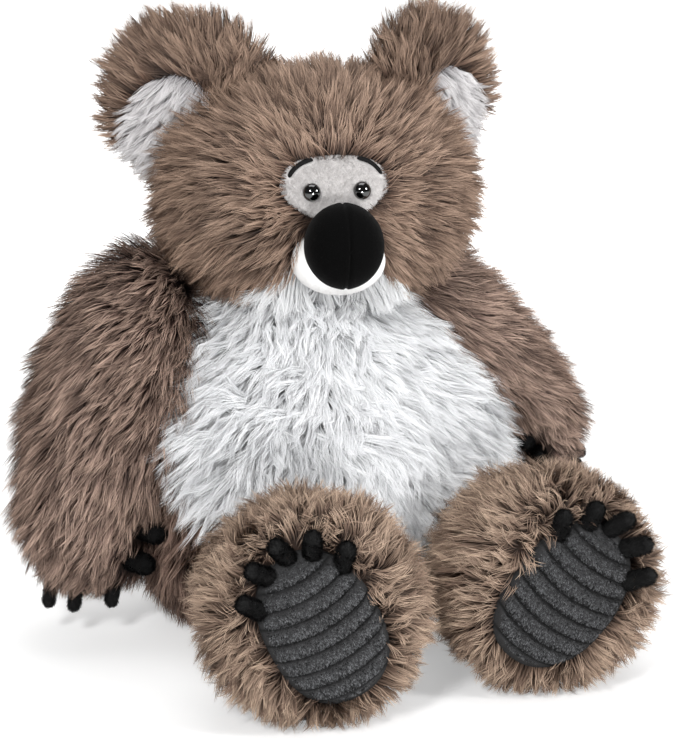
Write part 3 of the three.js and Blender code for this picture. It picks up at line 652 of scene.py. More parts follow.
@dataclass(frozen=True)
class Form:
    """A stuffed form in millimetres: a ball on three half sizes, blunted by a power, swelled and leaned."""

    half: Triple
    power: float = 2.3
    swell: tuple[float, ...] = (1.0, 1.0)
    lean: tuple[float, ...] = (0.0, 0.0)
    lean_axis: int = 1
    forward: bool = False
    centre: Triple = (0.0, 0.0, 0.0)

    def points(self, ball: Points, grow: float | Triple = 0.0) -> Points:
        """Carries a unit ball's points onto the form.

        Args:
            ball: the unit ball's points.
            grow: what each half size gains.

        Returns:
            The points on the form.
        """
        wide, deep, tall = np.asarray(self.half) + np.asarray(grow)
        ring = np.maximum(np.hypot(ball[:, 0], ball[:, 1]), 1e-12)
        height = np.sign(ball[:, 2]) * np.abs(ball[:, 2]) ** (2 / self.power)
        spread = ring ** (2 / self.power) / ring * share_curve(self.swell, height)
        out = np.stack([ball[:, 0] * spread * wide, ball[:, 1] * spread * deep, height * tall], axis=1)
        out[:, self.lean_axis] += share_curve(self.lean, height) * self.half[self.lean_axis]
        if self.forward:
            out = out[:, [0, 2, 1]] * (1, -1, 1)
        return out + np.asarray(self.centre)

    def mesh(
        self, name: str, grid: tuple[int, int], grow: float | Triple = 0.0, place: Place | None = None
    ) -> bpy.types.Mesh:
        """Makes the form's mesh.

        Args:
            name: the mesh's name.
            grid: its columns and its bands.
            grow: what each half size gains.
            place: where the form's frame sits.

        Returns:
            The mesh.
        """
        ball, faces = ball_grid(*grid)
        return new_mesh(name, self.points(ball, grow), faces, place)

    def front(self, x: Points, z: Points, grow: float = 0.0) -> Points:
        """How far along Y the form's front lies at places across it.

        Args:
            x: the places' X.
            z: the places' Z.
            grow: what each half size gains.

        Returns:
            The Y of the front at each place.
        """
        wide, deep, tall = np.asarray(self.half) + grow
        x, z = x - self.centre[0], z - self.centre[2]
        if not self.forward:
            height = np.clip(z / tall, -0.999, 0.999)
            girth = self.girth(height)
            shift = share_curve(self.lean, height) * self.half[1] if self.lean_axis == 1 else 0.0
            round_off = np.sqrt(np.maximum(1 - (x / (wide * girth)) ** 2, 0.0))
            return self.centre[1] + shift - deep * girth * round_off
        reach = np.hypot(x / wide, z / deep)
        low, high = np.zeros_like(reach), np.ones_like(reach)
        for _ in range(40):
            middle = (low + high) / 2
            beyond = self.girth(middle) > reach
            low, high = np.where(beyond, middle, low), np.where(beyond, high, middle)
        return self.centre[1] - tall * low

    def girth(self, height: Points) -> Points:
        """The share of the half sizes that the form has at a height."""
        return (1 - np.abs(height) ** self.power) ** (1 / self.power) * share_curve(self.swell, height)


@dataclass(frozen=True)
class Sheet:
    """A square grid drawn out to an oval of half size 1, for a sewn panel."""

    columns: int
    rows: int
    power: float

    def places(self) -> tuple[Points, Points]:
        """The vertices' X and Z, row by row."""
        u, v = np.meshgrid(np.linspace(-1, 1, self.columns + 1), np.linspace(-1, 1, self.rows + 1))
        u, v = u.ravel(), v.ravel()
        x, z = u * np.sqrt(1 - v * v / 2), v * np.sqrt(1 - u * u / 2)
        turn, reach = np.arctan2(z, x), np.hypot(x, z)
        edge = (np.abs(np.cos(turn)) ** self.power + np.abs(np.sin(turn)) ** self.power) ** (-1 / self.power)
        return reach * edge * np.cos(turn), reach * edge * np.sin(turn)

    @property
    def faces(self) -> Faces:
        """The sheet's faces."""
        wide = self.columns + 1
        starts = [j * wide + i for j in range(self.rows) for i in range(self.columns)]
        return [(a, a + 1, a + wide + 1, a + wide) for a in starts]

    def panel(self, x: Points, z: Points, y: Points, thickness: float) -> tuple[Points, Faces]:
        """Closes the sheet into a panel with a rounded edge and a flat back.

        Args:
            x: the sheet's X.
            z: the sheet's Z.
            y: the sheet's Y, smaller towards the front.
            thickness: how far back it goes.

        Returns:
            The panel's vertices and faces.
        """
        wide, last = self.columns + 1, self.rows * (self.columns + 1)
        rim = [*range(self.columns), *(j * wide + self.columns for j in range(self.rows))]
        rim += [*(last + i for i in range(self.columns, 0, -1)), *(j * wide for j in range(self.rows, 0, -1))]
        sheet = np.stack([x, y, z], axis=1)
        back = sheet[rim] + (0, thickness, 0)
        first, count = len(sheet), len(rim)
        faces = self.faces
        for i in range(count):
            k = (i + 1) % count
            faces += [(rim[k], rim[i], first + i, first + k), (first + k, first + i, first + count)]
        return np.concatenate([sheet, back, [back.mean(axis=0)]]), faces


def add_object(name: str, mesh: bpy.types.Mesh) -> bpy.types.Object:
    """Puts a mesh in the scene under a name."""
    made = bpy.data.objects.new(name, mesh)
    bpy.context.scene.collection.objects.link(made)
    return made


def plain_mesh(name: str, obj: bpy.types.Object) -> bpy.types.Mesh:
    """What an object's modifiers make of it, as a plain mesh."""
    graph = bpy.context.evaluated_depsgraph_get()
    graph.update()
    made = obj.evaluated_get(graph)
    mesh = bpy.data.meshes.new_from_object(made, preserve_all_data_layers=True, depsgraph=graph)
    mesh.name = name
    return mesh


def combine(
    name: str, first: bpy.types.Mesh, others: Sequence[bpy.types.Mesh], operation: str
) -> bpy.types.Mesh:
    """Joins closed meshes to a closed mesh, or takes them out of it.

    Args:
        name: the new mesh's name.
        first: the mesh that is worked on.
        others: what is joined or taken out.
        operation: UNION or DIFFERENCE.

    Returns:
        The mesh that is left.
    """
    holder, *tools = (add_object("combined", mesh) for mesh in (first, *others))
    for tool in tools:
        step = holder.modifiers.new("combined", "BOOLEAN")
        step.operation, step.solver, step.object = operation, "EXACT", tool
    made = plain_mesh(name, holder)
    for extra in (holder, *tools):
        bpy.data.objects.remove(extra, do_unlink=True)
    return smooth(made)


@contextmanager
def worked(mesh: bpy.types.Mesh, result: bpy.types.Mesh | None = None) -> Iterator[bmesh.types.BMesh]:
    """Opens a mesh for work and writes what is left of it back.

    Args:
        mesh: the mesh that is opened.
        result: the mesh that is written, where it is another one.

    Yields:
        The open mesh.
    """
    work = bmesh.new()
    work.from_mesh(mesh)
    yield work
    work.to_mesh(result or mesh)
    work.free()


def cut_flat(mesh: bpy.types.Mesh, point: Sequence[float], normal: Sequence[float]) -> None:
    """Cuts off what lies beyond a plane and closes the cut.

    Args:
        mesh: the mesh, in metres.
        point: a point on the plane, in millimetres.
        normal: the way that is cut off.
    """
    plane, weld = [c * MM for c in point], 1e-7
    with worked(mesh) as work:
        everything = work.verts[:] + work.edges[:] + work.faces[:]
        bmesh.ops.bisect_plane(
            work, geom=everything, plane_co=plane, plane_no=normal, clear_outer=True, dist=weld
        )
        bmesh.ops.edgeloop_fill(work, edges=[e for e in work.edges if len(e.link_faces) == 1])
        bmesh.ops.recalc_face_normals(work, faces=work.faces[:])
    mesh.update()


def face_outwards(mesh: bpy.types.Mesh) -> bpy.types.Mesh:
    """Turns a closed mesh's faces outwards."""
    with worked(mesh) as work:
        bmesh.ops.recalc_face_normals(work, faces=work.faces[:])
    return mesh


def dress(
    name: str,
    mesh: bpy.types.Mesh,
    stuff: Stuff,
    body: str,
    nodes: Sequence[str] = (),
) -> None:
    """Gives a finished mesh its finish, its body and the solids that it stands for.

    Args:
        name: the piece's name.
        mesh: its mesh, in place.
        stuff: its finish.
        body: the body that it rides on.
        nodes: the solids that it stands for.
    """
    piece = add_object(name, mesh)
    mesh.materials.clear()
    mesh.materials.append(stuff.value.material())
    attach(piece, body)
    if nodes:
        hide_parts(*nodes)
    log.info("%s: %d faces, on %s", name, len(mesh.polygons), body)


def hold(mesh: bpy.types.Mesh, name: str, values: Points | float) -> None:
    """Stores a number or a vector at each vertex.

    Args:
        mesh: the mesh.
        name: the attribute's name.
        values: one value for each vertex, or one for them all.
    """
    given = np.asarray(values, np.float32)
    kind, key, width = ("FLOAT_VECTOR", "vector", 3) if given.shape[-1:] == (3,) else ("FLOAT", "value", 1)
    held = mesh.attributes.get(name) or mesh.attributes.new(name, kind, "POINT")
    held.data.foreach_set(key, np.broadcast_to(given.reshape(-1, width), (len(mesh.vertices), width)).ravel())


# Pile


@dataclass(frozen=True)
class Coat:
    """What a stretch of cloth says about the pile on it, at each of its vertices or over all of it."""

    comb: Points
    cover: Points | float
    long: Points | float
    lean: Points | float
    tone: Points | float

    def area(self, cloth: bpy.types.Mesh) -> float:
        """The area of cloth that pile grows on, in square metres."""
        cloth.calc_loop_triangles()
        corners = np.empty(len(cloth.loop_triangles) * 3, np.int32)
        cloth.loop_triangles.foreach_get("vertices", corners)
        corners = corners.reshape(-1, 3)
        places = np.empty(len(cloth.vertices) * 3)
        cloth.vertices.foreach_get("co", places)
        a, b, c = (places.reshape(-1, 3)[corners[:, i]] for i in range(3))
        areas = np.linalg.norm(np.cross(b - a, c - a), axis=1) / 2
        cover = np.broadcast_to(self.cover, len(cloth.vertices))
        return float((areas * cover[corners].mean(axis=1)).sum())


@dataclass(frozen=True)
class Pile:
    """How one kind of pile grows, in millimetres and in strands a square millimetre."""

    length: float = 29.0
    width: float = 0.55
    density: float = 1.0
    segments: int = 3
    lock_density: float = 0.115
    pull: float = 0.88
    ruffle: float = 0.9
    ruffle_size: float = 45.0
    tuft: float = 1.5
    tuft_size: float = 15.0
    lock_jitter: float = 0.4
    sway: float = 3.0
    curl: float = 4.4
    frizz: float = 0.9
    floor: float = -1000.0

    # The tree's inputs that are numbers, and the power of a length that each one is
    POWERS = {
        "density": -2, "lock_density": -2, "length": 1, "width": 1, "ruffle_size": 1, "tuft_size": 1,
        "sway": 1, "frizz": 1, "floor": 1, "pull": 0, "ruffle": 0, "tuft": 0, "lock_jitter": 0, "curl": 0,
    }

    @classmethod
    def tree(cls) -> bpy.types.NodeTree:
        """The geometry tree that grows pile on a cloth, made once."""
        found = bpy.data.node_groups.get("pile")
        if found:
            return found
        tree = bpy.data.node_groups.new("pile", "GeometryNodeTree")
        for way in ("INPUT", "OUTPUT"):
            tree.interface.new_socket("Geometry", in_out=way, socket_type="NodeSocketGeometry")
        kinds = dict.fromkeys(cls.POWERS, "Float") | {"rows": "Int", "seed": "Int", "material": "Material"}
        for name, kind in kinds.items():
            tree.interface.new_socket(name, in_out="INPUT", socket_type=f"NodeSocket{kind}")
        w = Weaver(tree)
        outputs = w.node("NodeGroupInput").socket.node.outputs
        given = {s.name: Term(w, s) for s in outputs if s.name}
        sockets = {"Points": cls._plan(w, given), "Instance": cls._blade(w, given["rows"])}
        strands = w.node("GeometryNodeInstanceOnPoints", None, sockets)
        strands = w.node("GeometryNodeRealizeInstances", None, {"Geometry": strands})
        w.node("NodeGroupOutput", None, {"Geometry": cls._lay(w, given, strands)})
        return tree

    @staticmethod
    def _scatter(w: Weaver, cloth: Term, density: Term, seed: Term) -> Term:
        """Scatters points on the cloth and keeps the cloth's normal on them."""
        spread = {"Mesh": cloth, "Density": w.number("cover") * density, "Seed": seed}
        points = w.node("GeometryNodeDistributePointsOnFaces", None, spread, "Points")
        return w.store(points, nrm=points.beside("Normal"))

    @classmethod
    def _plan(cls, w: Weaver, given: dict[str, Term]) -> Term:
        """Works out where each strand runs and how light it is.

        Args:
            w: the tree.
            given: the tree's inputs.

        Returns:
            The strands' roots with what each one's strand needs.
        """
        position = w.node("GeometryNodeInputPosition")
        normal, comb, lean = w.vector("nrm"), w.vector("comb"), w.number("lean")
        long = w.number("long") * given["length"]
        middle, steepest = (0.5, 0.5, 0.5), 1.35
        broad = w.noise(position, given["ruffle_size"], 1.0, 1)
        tuft = w.noise(position, given["tuft_size"], 1.0, 1) - middle
        drift = (broad - middle) * given["ruffle"] + tuft * given["tuft"]
        lift = tuft.dot(normal) * 1.5 + 1.0

        # Locks, which the strands gather into
        spread = {"Min": (-1, -1, -1), "Max": (1, 1, 1), "Seed": 11}
        jitter = w.node("FunctionNodeRandomValue", {"data_type": "FLOAT_VECTOR"}, spread)
        lock_way = (comb + drift + jitter * given["lock_jitter"]).flat_on(normal)
        lock_long = long * w.chance(12, 0.75, 1.15)
        lock_lean = (lean * lift * w.chance(13, 0.7, 1.2)).at_most(steepest)
        lock_rise, lock_run = lock_long * lock_lean.cosine(), lock_long * lock_lean.sine()
        lock_tip = position + normal * lock_rise + lock_way * lock_run
        locks = w.store(
            cls._scatter(w, given["Geometry"], given["lock_density"], given["seed"] + 7.0),
            lock_tip=lock_tip,
            lock_sway=lock_way.cross(normal) * w.chance(15, -1.0, 1.0),
            lock_tone=w.chance(14),
        )
        nearest = w.node("GeometryNodeSampleNearest", {"domain": "POINT"}, {"Geometry": locks})

        def of_lock(value: Term) -> Term:
            """Reads the nearest lock's value."""
            sockets = {"Geometry": locks, "Value": value, "Index": nearest}
            return w.node("GeometryNodeSampleIndex", {"data_type": w.kind(value), "domain": "POINT"}, sockets)

        # Each strand's own run, its tip pulled toward its lock's
        gathered, lock_tone = of_lock(w.vector("lock_tip")), of_lock(w.number("lock_tone"))
        way = (comb + drift).flat_on(normal)
        own_long = long * w.chance(1, 0.6, 1.12)
        own_lean = (lean * lift * w.chance(2, 0.75, 1.2)).at_most(steepest)
        rise, run = own_long * own_lean.cosine(), own_long * own_lean.sine()
        own_tip = position + normal * rise + way * run
        tip = own_tip + (gathered - own_tip) * (given["pull"] * w.chance(3, 0.5, 1.0))
        ahead = (tip - position).unit()
        flat = ahead.cross(normal).unit()
        twist = w.chance(4, -0.9, 0.9)
        side = flat * twist.cosine() + flat.cross(ahead) * twist.sine()
        swing = of_lock(w.vector("lock_sway")) * given["sway"]
        tone = w.number("tone") + (lock_tone - 0.5) * 0.95 + (w.chance(5) - 0.5) * 0.6 + tuft.dot(comb) * 0.8
        return w.store(
            cls._scatter(w, given["Geometry"], given["density"], given["seed"]),
            root=position,
            bend=position + normal * (rise * 0.66) + way * (run * 0.22),
            tip=tip,
            side=side,
            facing=side.cross(ahead),
            swing=swing + side * (w.chance(7, -1.0, 1.0) * given["frizz"]),
            shade=tone.at_least(0.0).at_most(1.0),
            phase=lock_tone * 6.283 + w.chance(6, 0.0, 0.7),
        )

    @staticmethod
    def _blade(w: Weaver, rows: Term) -> Term:
        """Makes one strand: a flat ribbon that comes to a point."""
        grid = {"Size X": 1.0, "Size Y": 1.0, "Vertices X": 2, "Vertices Y": rows}
        blade = w.node("GeometryNodeMeshGrid", None, grid, "Mesh")
        across, up, _ = w.split(w.node("GeometryNodeInputPosition"))
        up = up + 0.5
        blade = w.store(blade, along=up, aside=across * 2.0)
        blade = w.move(blade, w.join(across * (1.0 - up**6.0), up))
        return w.node("GeometryNodeMergeByDistance", None, {"Geometry": blade, "Distance": 0.02})

    @staticmethod
    def _lay(w: Weaver, given: dict[str, Term], strands: Term) -> Term:
        """Bends the ribbons along their runs and gives them their normals, their map and their finish.

        Args:
            w: the tree.
            given: the tree's inputs.
            strands: the ribbons.

        Returns:
            The finished strands.
        """
        along, aside, across = w.number("along"), w.number("aside"), w.vector("side")
        rest = 1.0 - along
        curve = w.vector("root") * (rest * rest) + w.vector("bend") * (rest * along * 2.0)
        curve = curve + w.vector("tip") * (along * along)
        ripple = w.vector("swing") * ((along * given["curl"] + w.number("phase")).sine() * along)
        half = given["width"] * 0.5 * (1.0 - along**3.0)
        x, y, z = w.split(curve + ripple + across * (aside * half))
        off_floor, of_cloth, of_strand, of_side = 0.0006, 0.62, 0.38, 0.3
        strands = w.move(strands, w.join(x, y, z.at_least(given["floor"] + along * off_floor)))
        outward = w.vector("nrm") * of_cloth + w.vector("facing") * of_strand
        strands = w.store(strands, lit=(outward + across * (aside * of_side)).unit())
        pair = w.join(w.number("shade") * 0.97 + aside * 0.002 + 0.015, along)
        sockets = {"Geometry": strands, "Name": BAKE_MAP, "Value": pair}
        settings = {"data_type": "FLOAT2", "domain": "CORNER"}
        strands = w.node("GeometryNodeStoreNamedAttribute", settings, sockets)
        return w.node("GeometryNodeSetMaterial", None, {"Geometry": strands, "Material": given["material"]})

    def values(self, share: float, seed: int, material: bpy.types.Material) -> dict[str, object]:
        """The tree's inputs for one piece, in metres; the sizes of the noises turn into their scales."""
        held = {name: getattr(self, name) * MM**power for name, power in self.POWERS.items()}
        scales = {name: 1 / held[name] for name in ("ruffle_size", "tuft_size")}
        counts = {"density": self.density * share / MM**2, "rows": self.segments + 1, "seed": seed}
        return {**held, **scales, **counts, "material": material}

    def grow(
        self,
        name: str,
        cloth: bpy.types.Mesh,
        coat: Coat,
        stuff: Stuff,
        body: str,
        seed: int,
        nodes: Sequence[str] = (),
    ) -> None:
        """Grows the pile on a cloth as one piece.

        Args:
            name: the piece's name.
            cloth: the surface that it grows on.
            coat: what the surface says about it.
            stuff: its finish.
            body: the body that it rides on.
            seed: what its chances start from.
            nodes: the solids that it stands for.
        """
        for label in ("comb", "cover", "long", "lean", "tone"):
            hold(cloth, label, getattr(coat, label))
        share = min(1.0, MOST_STRANDS / max(coat.area(cloth) / MM**2 * self.density, 1.0))
        holder = add_object("growing", cloth)
        step = holder.modifiers.new("pile", "NODES")
        step.node_group = self.tree()
        wanted = self.values(share, seed, stuff.value.material())
        for item in step.node_group.interface.items_tree:
            if item.in_out == "INPUT" and item.name in wanted:
                step[item.identifier] = wanted[item.name]
        mesh = plain_mesh(name, holder)
        bpy.data.objects.remove(holder, do_unlink=True)
        lit = np.empty(len(mesh.vertices) * 3, np.float32)
        mesh.attributes["lit"].data.foreach_get("vector", lit)
        smooth(mesh).normals_split_custom_set_from_vertices(lit.reshape(-1, 3))
        kept = {BAKE_MAP, "custom_normal", "sharp_edge", "sharp_face"}
        spare = [a.name for a in mesh.attributes if not (a.name in kept or a.is_internal or a.is_required)]
        for label in spare:
            mesh.attributes.remove(mesh.attributes[label])
        dress(name, mesh, stuff, body, nodes)


class Side(Enum):
    """Which side of the toy a piece is on."""

    LEFT = 1
    RIGHT = -1

    @property
    def word(self) -> str:
        """The side's name in piece names."""
        return self.name.lower()

    @property
    def mirrored(self) -> bool:
        """Whether the piece is the mirror of the left one."""
        return self is Side.RIGHT

    def of(self, pair: tuple) -> object:
        """This side's one of a left and a right value."""
        return pair[self.mirrored]


# Head

HEAD_FORM = Form((107.0, 90.0, 81.0), swell=(1.0, 1.03, 1.0, 0.97, 0.92))
HEAD_PLACE = Place(at(0.0, -14.0, 299.0) @ turned(-11.5, "Z"))
TORSO_FORM = Form(
    (132.0, 104.0, 150.0),
    swell=(1.12, 1.06, 0.98, 0.86, 0.78),
    lean=(0.0, -0.13, -0.12, 0.02, 0.06),
    centre=(0.0, 0.0, 118.0),
)


@dataclass(frozen=True)
class Head:
    """The head with its face panel, brows, eyes, muzzle, nose and chin fur."""

    inset: float = 14.0
    face_half: tuple[float, float] = (35.5, 20.0)
    face_rise: float = 13.0
    face_power: float = 2.6
    face_depth: float = 9.0
    face_taper: float = 0.34
    face_thickness: float = 3.0
    chin_half: tuple[float, float] = (42.0, 25.0)
    chin_drop: float = 54.0
    nose_room: tuple[float, float] = (27.0, 26.0)
    nose_drop: float = 22.0
    lip_room: tuple[float, float] = (31.0, 22.0)
    lip_drop: float = 34.0
    muzzle: Form = Form((31.0, 30.0, 22.0), power=2.0, centre=(0.0, -84.0, -34.0))
    nose: Form = Form((26.0, 28.0, 22.0), forward=True, centre=(0.0, -104.0, -20.0))
    eye_radius: float = 6.0
    eye_dome: float = 4.6
    eye_flange: float = 1.2
    eye_shank: tuple[float, float] = (2.1, 15.0)
    eye_out: float = 16.5
    eye_rise: float = 11.0
    eye_standoff: float = 0.5
    brow_radius: float = 20.8
    brow_width: float = 2.8
    brow_thickness: float = 1.8
    brow_arc: tuple[float, float] = (28.0, 84.0)
    brow_room: tuple[float, float] = (22.0, 90.0)
    brow_inward: float = 4.0
    comb_centre: Triple = (0.0, -92.0, 0.0)
    pile: Pile = Pile(length=33.0, width=0.58, density=0.98, pull=0.84, tuft=1.3, sway=3.2, frizz=1.3)
    chin_pile: Pile = Pile(length=38.0, width=0.65, density=1.6, lock_density=0.09, sway=3.4)
    nap: Pile = Pile(
        length=2.2, width=0.4, density=9.0, segments=1, lock_density=0.4, pull=0.4, ruffle=1.0,
        ruffle_size=20.0, tuft=3.0, tuft_size=3.0, sway=0.0, frizz=0.0,
    )

    def build(self) -> None:
        """Builds and dresses every piece of the head."""
        skull = HEAD_FORM.mesh("head_cloth", (72, 44), -self.inset, HEAD_PLACE)
        dress("head_cloth", skull, Stuff.BROWN_BACKING, "head", ["head"])
        self.fur()
        self.face_panel()
        self.muzzle_and_nose()
        for side in Side:
            self.eye(side)
            self.brow(side)

    def fur(self) -> None:
        """The brown fur that lies away from the face, and the white fur of the chin."""
        cloth = HEAD_FORM.mesh("head_coat", (96, 60), -self.inset, HEAD_PLACE)
        local = HEAD_PLACE.back(places_of(cloth))
        x, y, z = local.T
        front = y < 0
        face = oval_share(x, z - self.face_rise, *self.face_half, self.face_power)
        chin = oval_share(x, z + self.chin_drop, *self.chin_half, 2.0)
        nose = oval_share(x, z + self.nose_drop, *self.nose_room, 2.2)
        lip = oval_share(x, z + self.lip_drop, *self.lip_room, 2.0)
        open_face = np.where(front, step_up(np.minimum(face, np.minimum(nose, lip)), 0.84, 0.96), 1.0)
        in_chin = np.where(front, 1 - step_up(chin, 0.94, 1.02), 0.0)
        neck = step_up(np.hypot(x, y) + np.maximum(z + 52, 0) * 9, 38.0, 50.0)

        # Away from the nose in front, down at the back, and drooping on the cheeks
        away = local - np.asarray(self.comb_centre)
        away /= np.linalg.norm(away, axis=1, keepdims=True)
        back = step_up(y, -20.0, 60.0)[:, None]
        comb = away * (1 - back) + np.array([0, 0.1, -1.0]) * back
        cheek = step_up(np.abs(x), 25.0, 100.0) * (1 - step_up(z, -10.0, 50.0))
        comb[:, 2] -= 0.15 + 0.6 * cheek
        comb[:, 0] *= 1.15
        comb = HEAD_PLACE.way(comb)
        near = np.where(front, step_up(np.minimum(face, lip), 1.0, 1.9), 1.0)
        beside = np.where(front, 1 - step_up(lip, 1.05, 1.8), 0.0) * step_up(np.abs(x), 14.0, 25.0)
        beside *= step_up(z, -46.0, -30.0) * (1 - step_up(z, -14.0, -4.0))
        length = 0.62 + 0.38 * near + 0.4 * beside
        lean = 1.0 - 0.2 * (1 - near) - 0.5 * beside

        shares = quarters(("crown", "cheek"), step_up(z, -10.0, 26.0), step_up(x, -20.0, 20.0))
        for i, (word, share) in enumerate(shares.items()):
            cover = share * open_face * (1 - in_chin) * neck
            coat = Coat(comb, cover, length, lean, 0.5 + 0.25 * (1 - near))
            self.pile.grow(f"head_fur_{word}", cloth, coat, Stuff.HEAD_FUR, "head", SEEDS["head"] + i)
        down = HEAD_PLACE.way(np.stack([x / 60.0, np.full(len(x), -0.25), np.full(len(x), -1.0)], axis=1))
        cover = in_chin * np.where(front, step_up(np.minimum(nose, lip), 0.9, 1.0), 1.0)
        # Tone 1.4 puts nearly every chin strand on the light palette: painted light that brightens the chin
        # where it sits in the head's shadow.
        coat = Coat(down, cover, long=0.9, lean=0.85, tone=1.4)
        self.chin_pile.grow("chin_fur", cloth, coat, Stuff.WHITE_FUR, "head", SEEDS["chin"], ["chin_panel"])

    def face_panel(self) -> None:
        """The short pile panel round the eyes."""
        sheet = Sheet(48, 28, self.face_power)
        u, v = sheet.places()
        taper = 1 - self.face_taper * np.clip(-v - 0.1, 0, 1)
        x, z = u * taper * self.face_half[0], v * self.face_half[1] + self.face_rise
        edge = oval_share(u, v, 1.0, 1.0, self.face_power)
        y = HEAD_FORM.front(x, z, -self.face_depth) + 3.0 * step_up(edge, 0.9, 1.0)
        mesh = new_mesh("face_panel", *sheet.panel(x, z, y, self.face_thickness), HEAD_PLACE)
        dress("face_panel", mesh, Stuff.GREY_CLOTH, "head", ["face_patch"])

        cloth = new_mesh("face_nap_cloth", np.stack([x, y, z], axis=1), sheet.faces, HEAD_PLACE)
        eyes = [oval_share(x - s * self.eye_out, z - self.eye_rise, 6.2, 6.2, 2.0) for s in (-1, 1)]
        outer = np.abs(x) - self.eye_out + self.brow_inward
        reach = np.hypot(outer, z - self.eye_rise)
        turn = np.degrees(np.arctan2(z - self.eye_rise, outer))
        browed = np.abs(reach - self.brow_radius) < self.brow_width
        browed &= (turn > self.brow_room[0]) & (turn < self.brow_room[1])
        cover = step_up(np.minimum(*eyes), 0.9, 1.05) * np.where(browed, 0.0, 1.0)
        coat = Coat(HEAD_PLACE.way((0.15, 0.0, -1.0)), cover, long=1.0, lean=0.7, tone=0.55)
        self.nap.grow("face_nap", cloth, coat, Stuff.GREY_NAP, "head", SEEDS["face"])

    def muzzle_and_nose(self) -> None:
        """The fleece lip and the padded nose, each with its centre seam."""
        ball, faces = ball_grid(64, 40)
        lip = self.muzzle.points(ball)
        groove = np.exp(-((lip[:, 0] / 0.9) ** 2)) * step_up(-lip[:, 1], 96.0, 100.0)
        lip[:, 1] += groove * 0.9
        mesh = new_mesh("muzzle_fleece", lip, faces, HEAD_PLACE)
        dress("muzzle_fleece", mesh, Stuff.FLEECE, "head", ["muzzle"])

        ball, faces = ball_grid(96, 60)
        nose = self.nose.points(ball)
        outward = nose - np.asarray(self.nose.centre)
        outward /= np.linalg.norm(outward, axis=1, keepdims=True)
        seam = np.exp(-((nose[:, 0] / 0.8) ** 2)) - 0.25 * np.exp(-((np.abs(nose[:, 0]) / 2.6 - 1) ** 2 * 3))
        mesh = new_mesh("nose_pad", nose - outward * seam[:, None], faces, HEAD_PLACE)
        dress("nose_pad", mesh, Stuff.NOSE_CLOTH, "head", ["nose"])

    def eye_place(self, side: Side) -> Matrix:
        """Where an eye sits on the face panel, and the way it looks."""
        wide, deep, tall = (h - self.face_depth for h in HEAD_FORM.half)
        x = side.value * self.eye_out
        y = -deep * math.sqrt(1 - math.hypot(x / wide, self.eye_rise / tall) ** 2)
        outward = Vector((x / wide**2, y / deep**2, self.eye_rise / tall**2)).normalized()
        seat = Vector((x, y, self.eye_rise)) + outward * self.eye_standoff
        return Matrix.Translation(seat) @ Vector((0, 0, 1)).rotation_difference(outward).to_matrix().to_4x4()

    def eye(self, side: Side) -> None:
        """A glossy domed eye on its shank."""
        (shank, length), radius = self.eye_shank, self.eye_radius
        arc = np.linspace(0, math.pi / 2, 14)
        dome = [(radius * math.cos(a), self.eye_flange + self.eye_dome * math.sin(a)) for a in arc]
        profile = [(0.0, -length), (shank, -length), (shank + 0.4, -length + 2.5), (shank, -length + 2.9)]
        profile += [(shank, 0.0), (radius - 0.2, 0.0), (radius, 0.3), *dome[:-1], (0.0, dome[-1][1])]
        name = f"eye_dome_{side.word}"
        mesh = new_mesh(name, *lathe(profile, 48), Place(HEAD_PLACE.matrix @ self.eye_place(side)))
        dress(name, mesh, Stuff.GLOSS, "head", [f"eye_{side.word}"])

    def brow(self, side: Side) -> None:
        """A thin felt arc over the outer side of an eye."""
        steps, low, high = 40, *(math.radians(a) for a in self.brow_arc)
        points: list[Triple] = []
        for i in range(steps + 1):
            t = i / steps
            turn = low + (high - low) * t
            half = self.brow_width / 2 * math.sqrt(max(1 - (2 * t - 1) ** 8, 0.03))
            for reach, lift in ((-half, 0.0), (-half * 0.8, 1.0), (half * 0.8, 1.0), (half, 0.0)):
                r = self.brow_radius + reach
                x = self.eye_out - self.brow_inward + r * math.cos(turn)
                z = self.eye_rise + r * math.sin(turn)
                lifted = -self.face_depth + 0.3 + lift * self.brow_thickness
                points.append((x, float(HEAD_FORM.front(np.array([x]), np.array([z]), lifted)[0]), z))
        starts = range(0, 4 * steps, 4)
        faces = [(a + j, a + (j + 1) % 4, a + 4 + (j + 1) % 4, a + 4 + j) for a in starts for j in range(4)]
        faces += [(3, 2, 1, 0), tuple(4 * steps + j for j in range(4))]
        name = f"brow_felt_{side.word}"
        mesh = new_mesh(name, np.array(points), faces, Place(HEAD_PLACE.matrix, side.mirrored))
        dress(name, face_outwards(mesh), Stuff.FELT, "head", [f"brow_{side.word}"])


# Ears


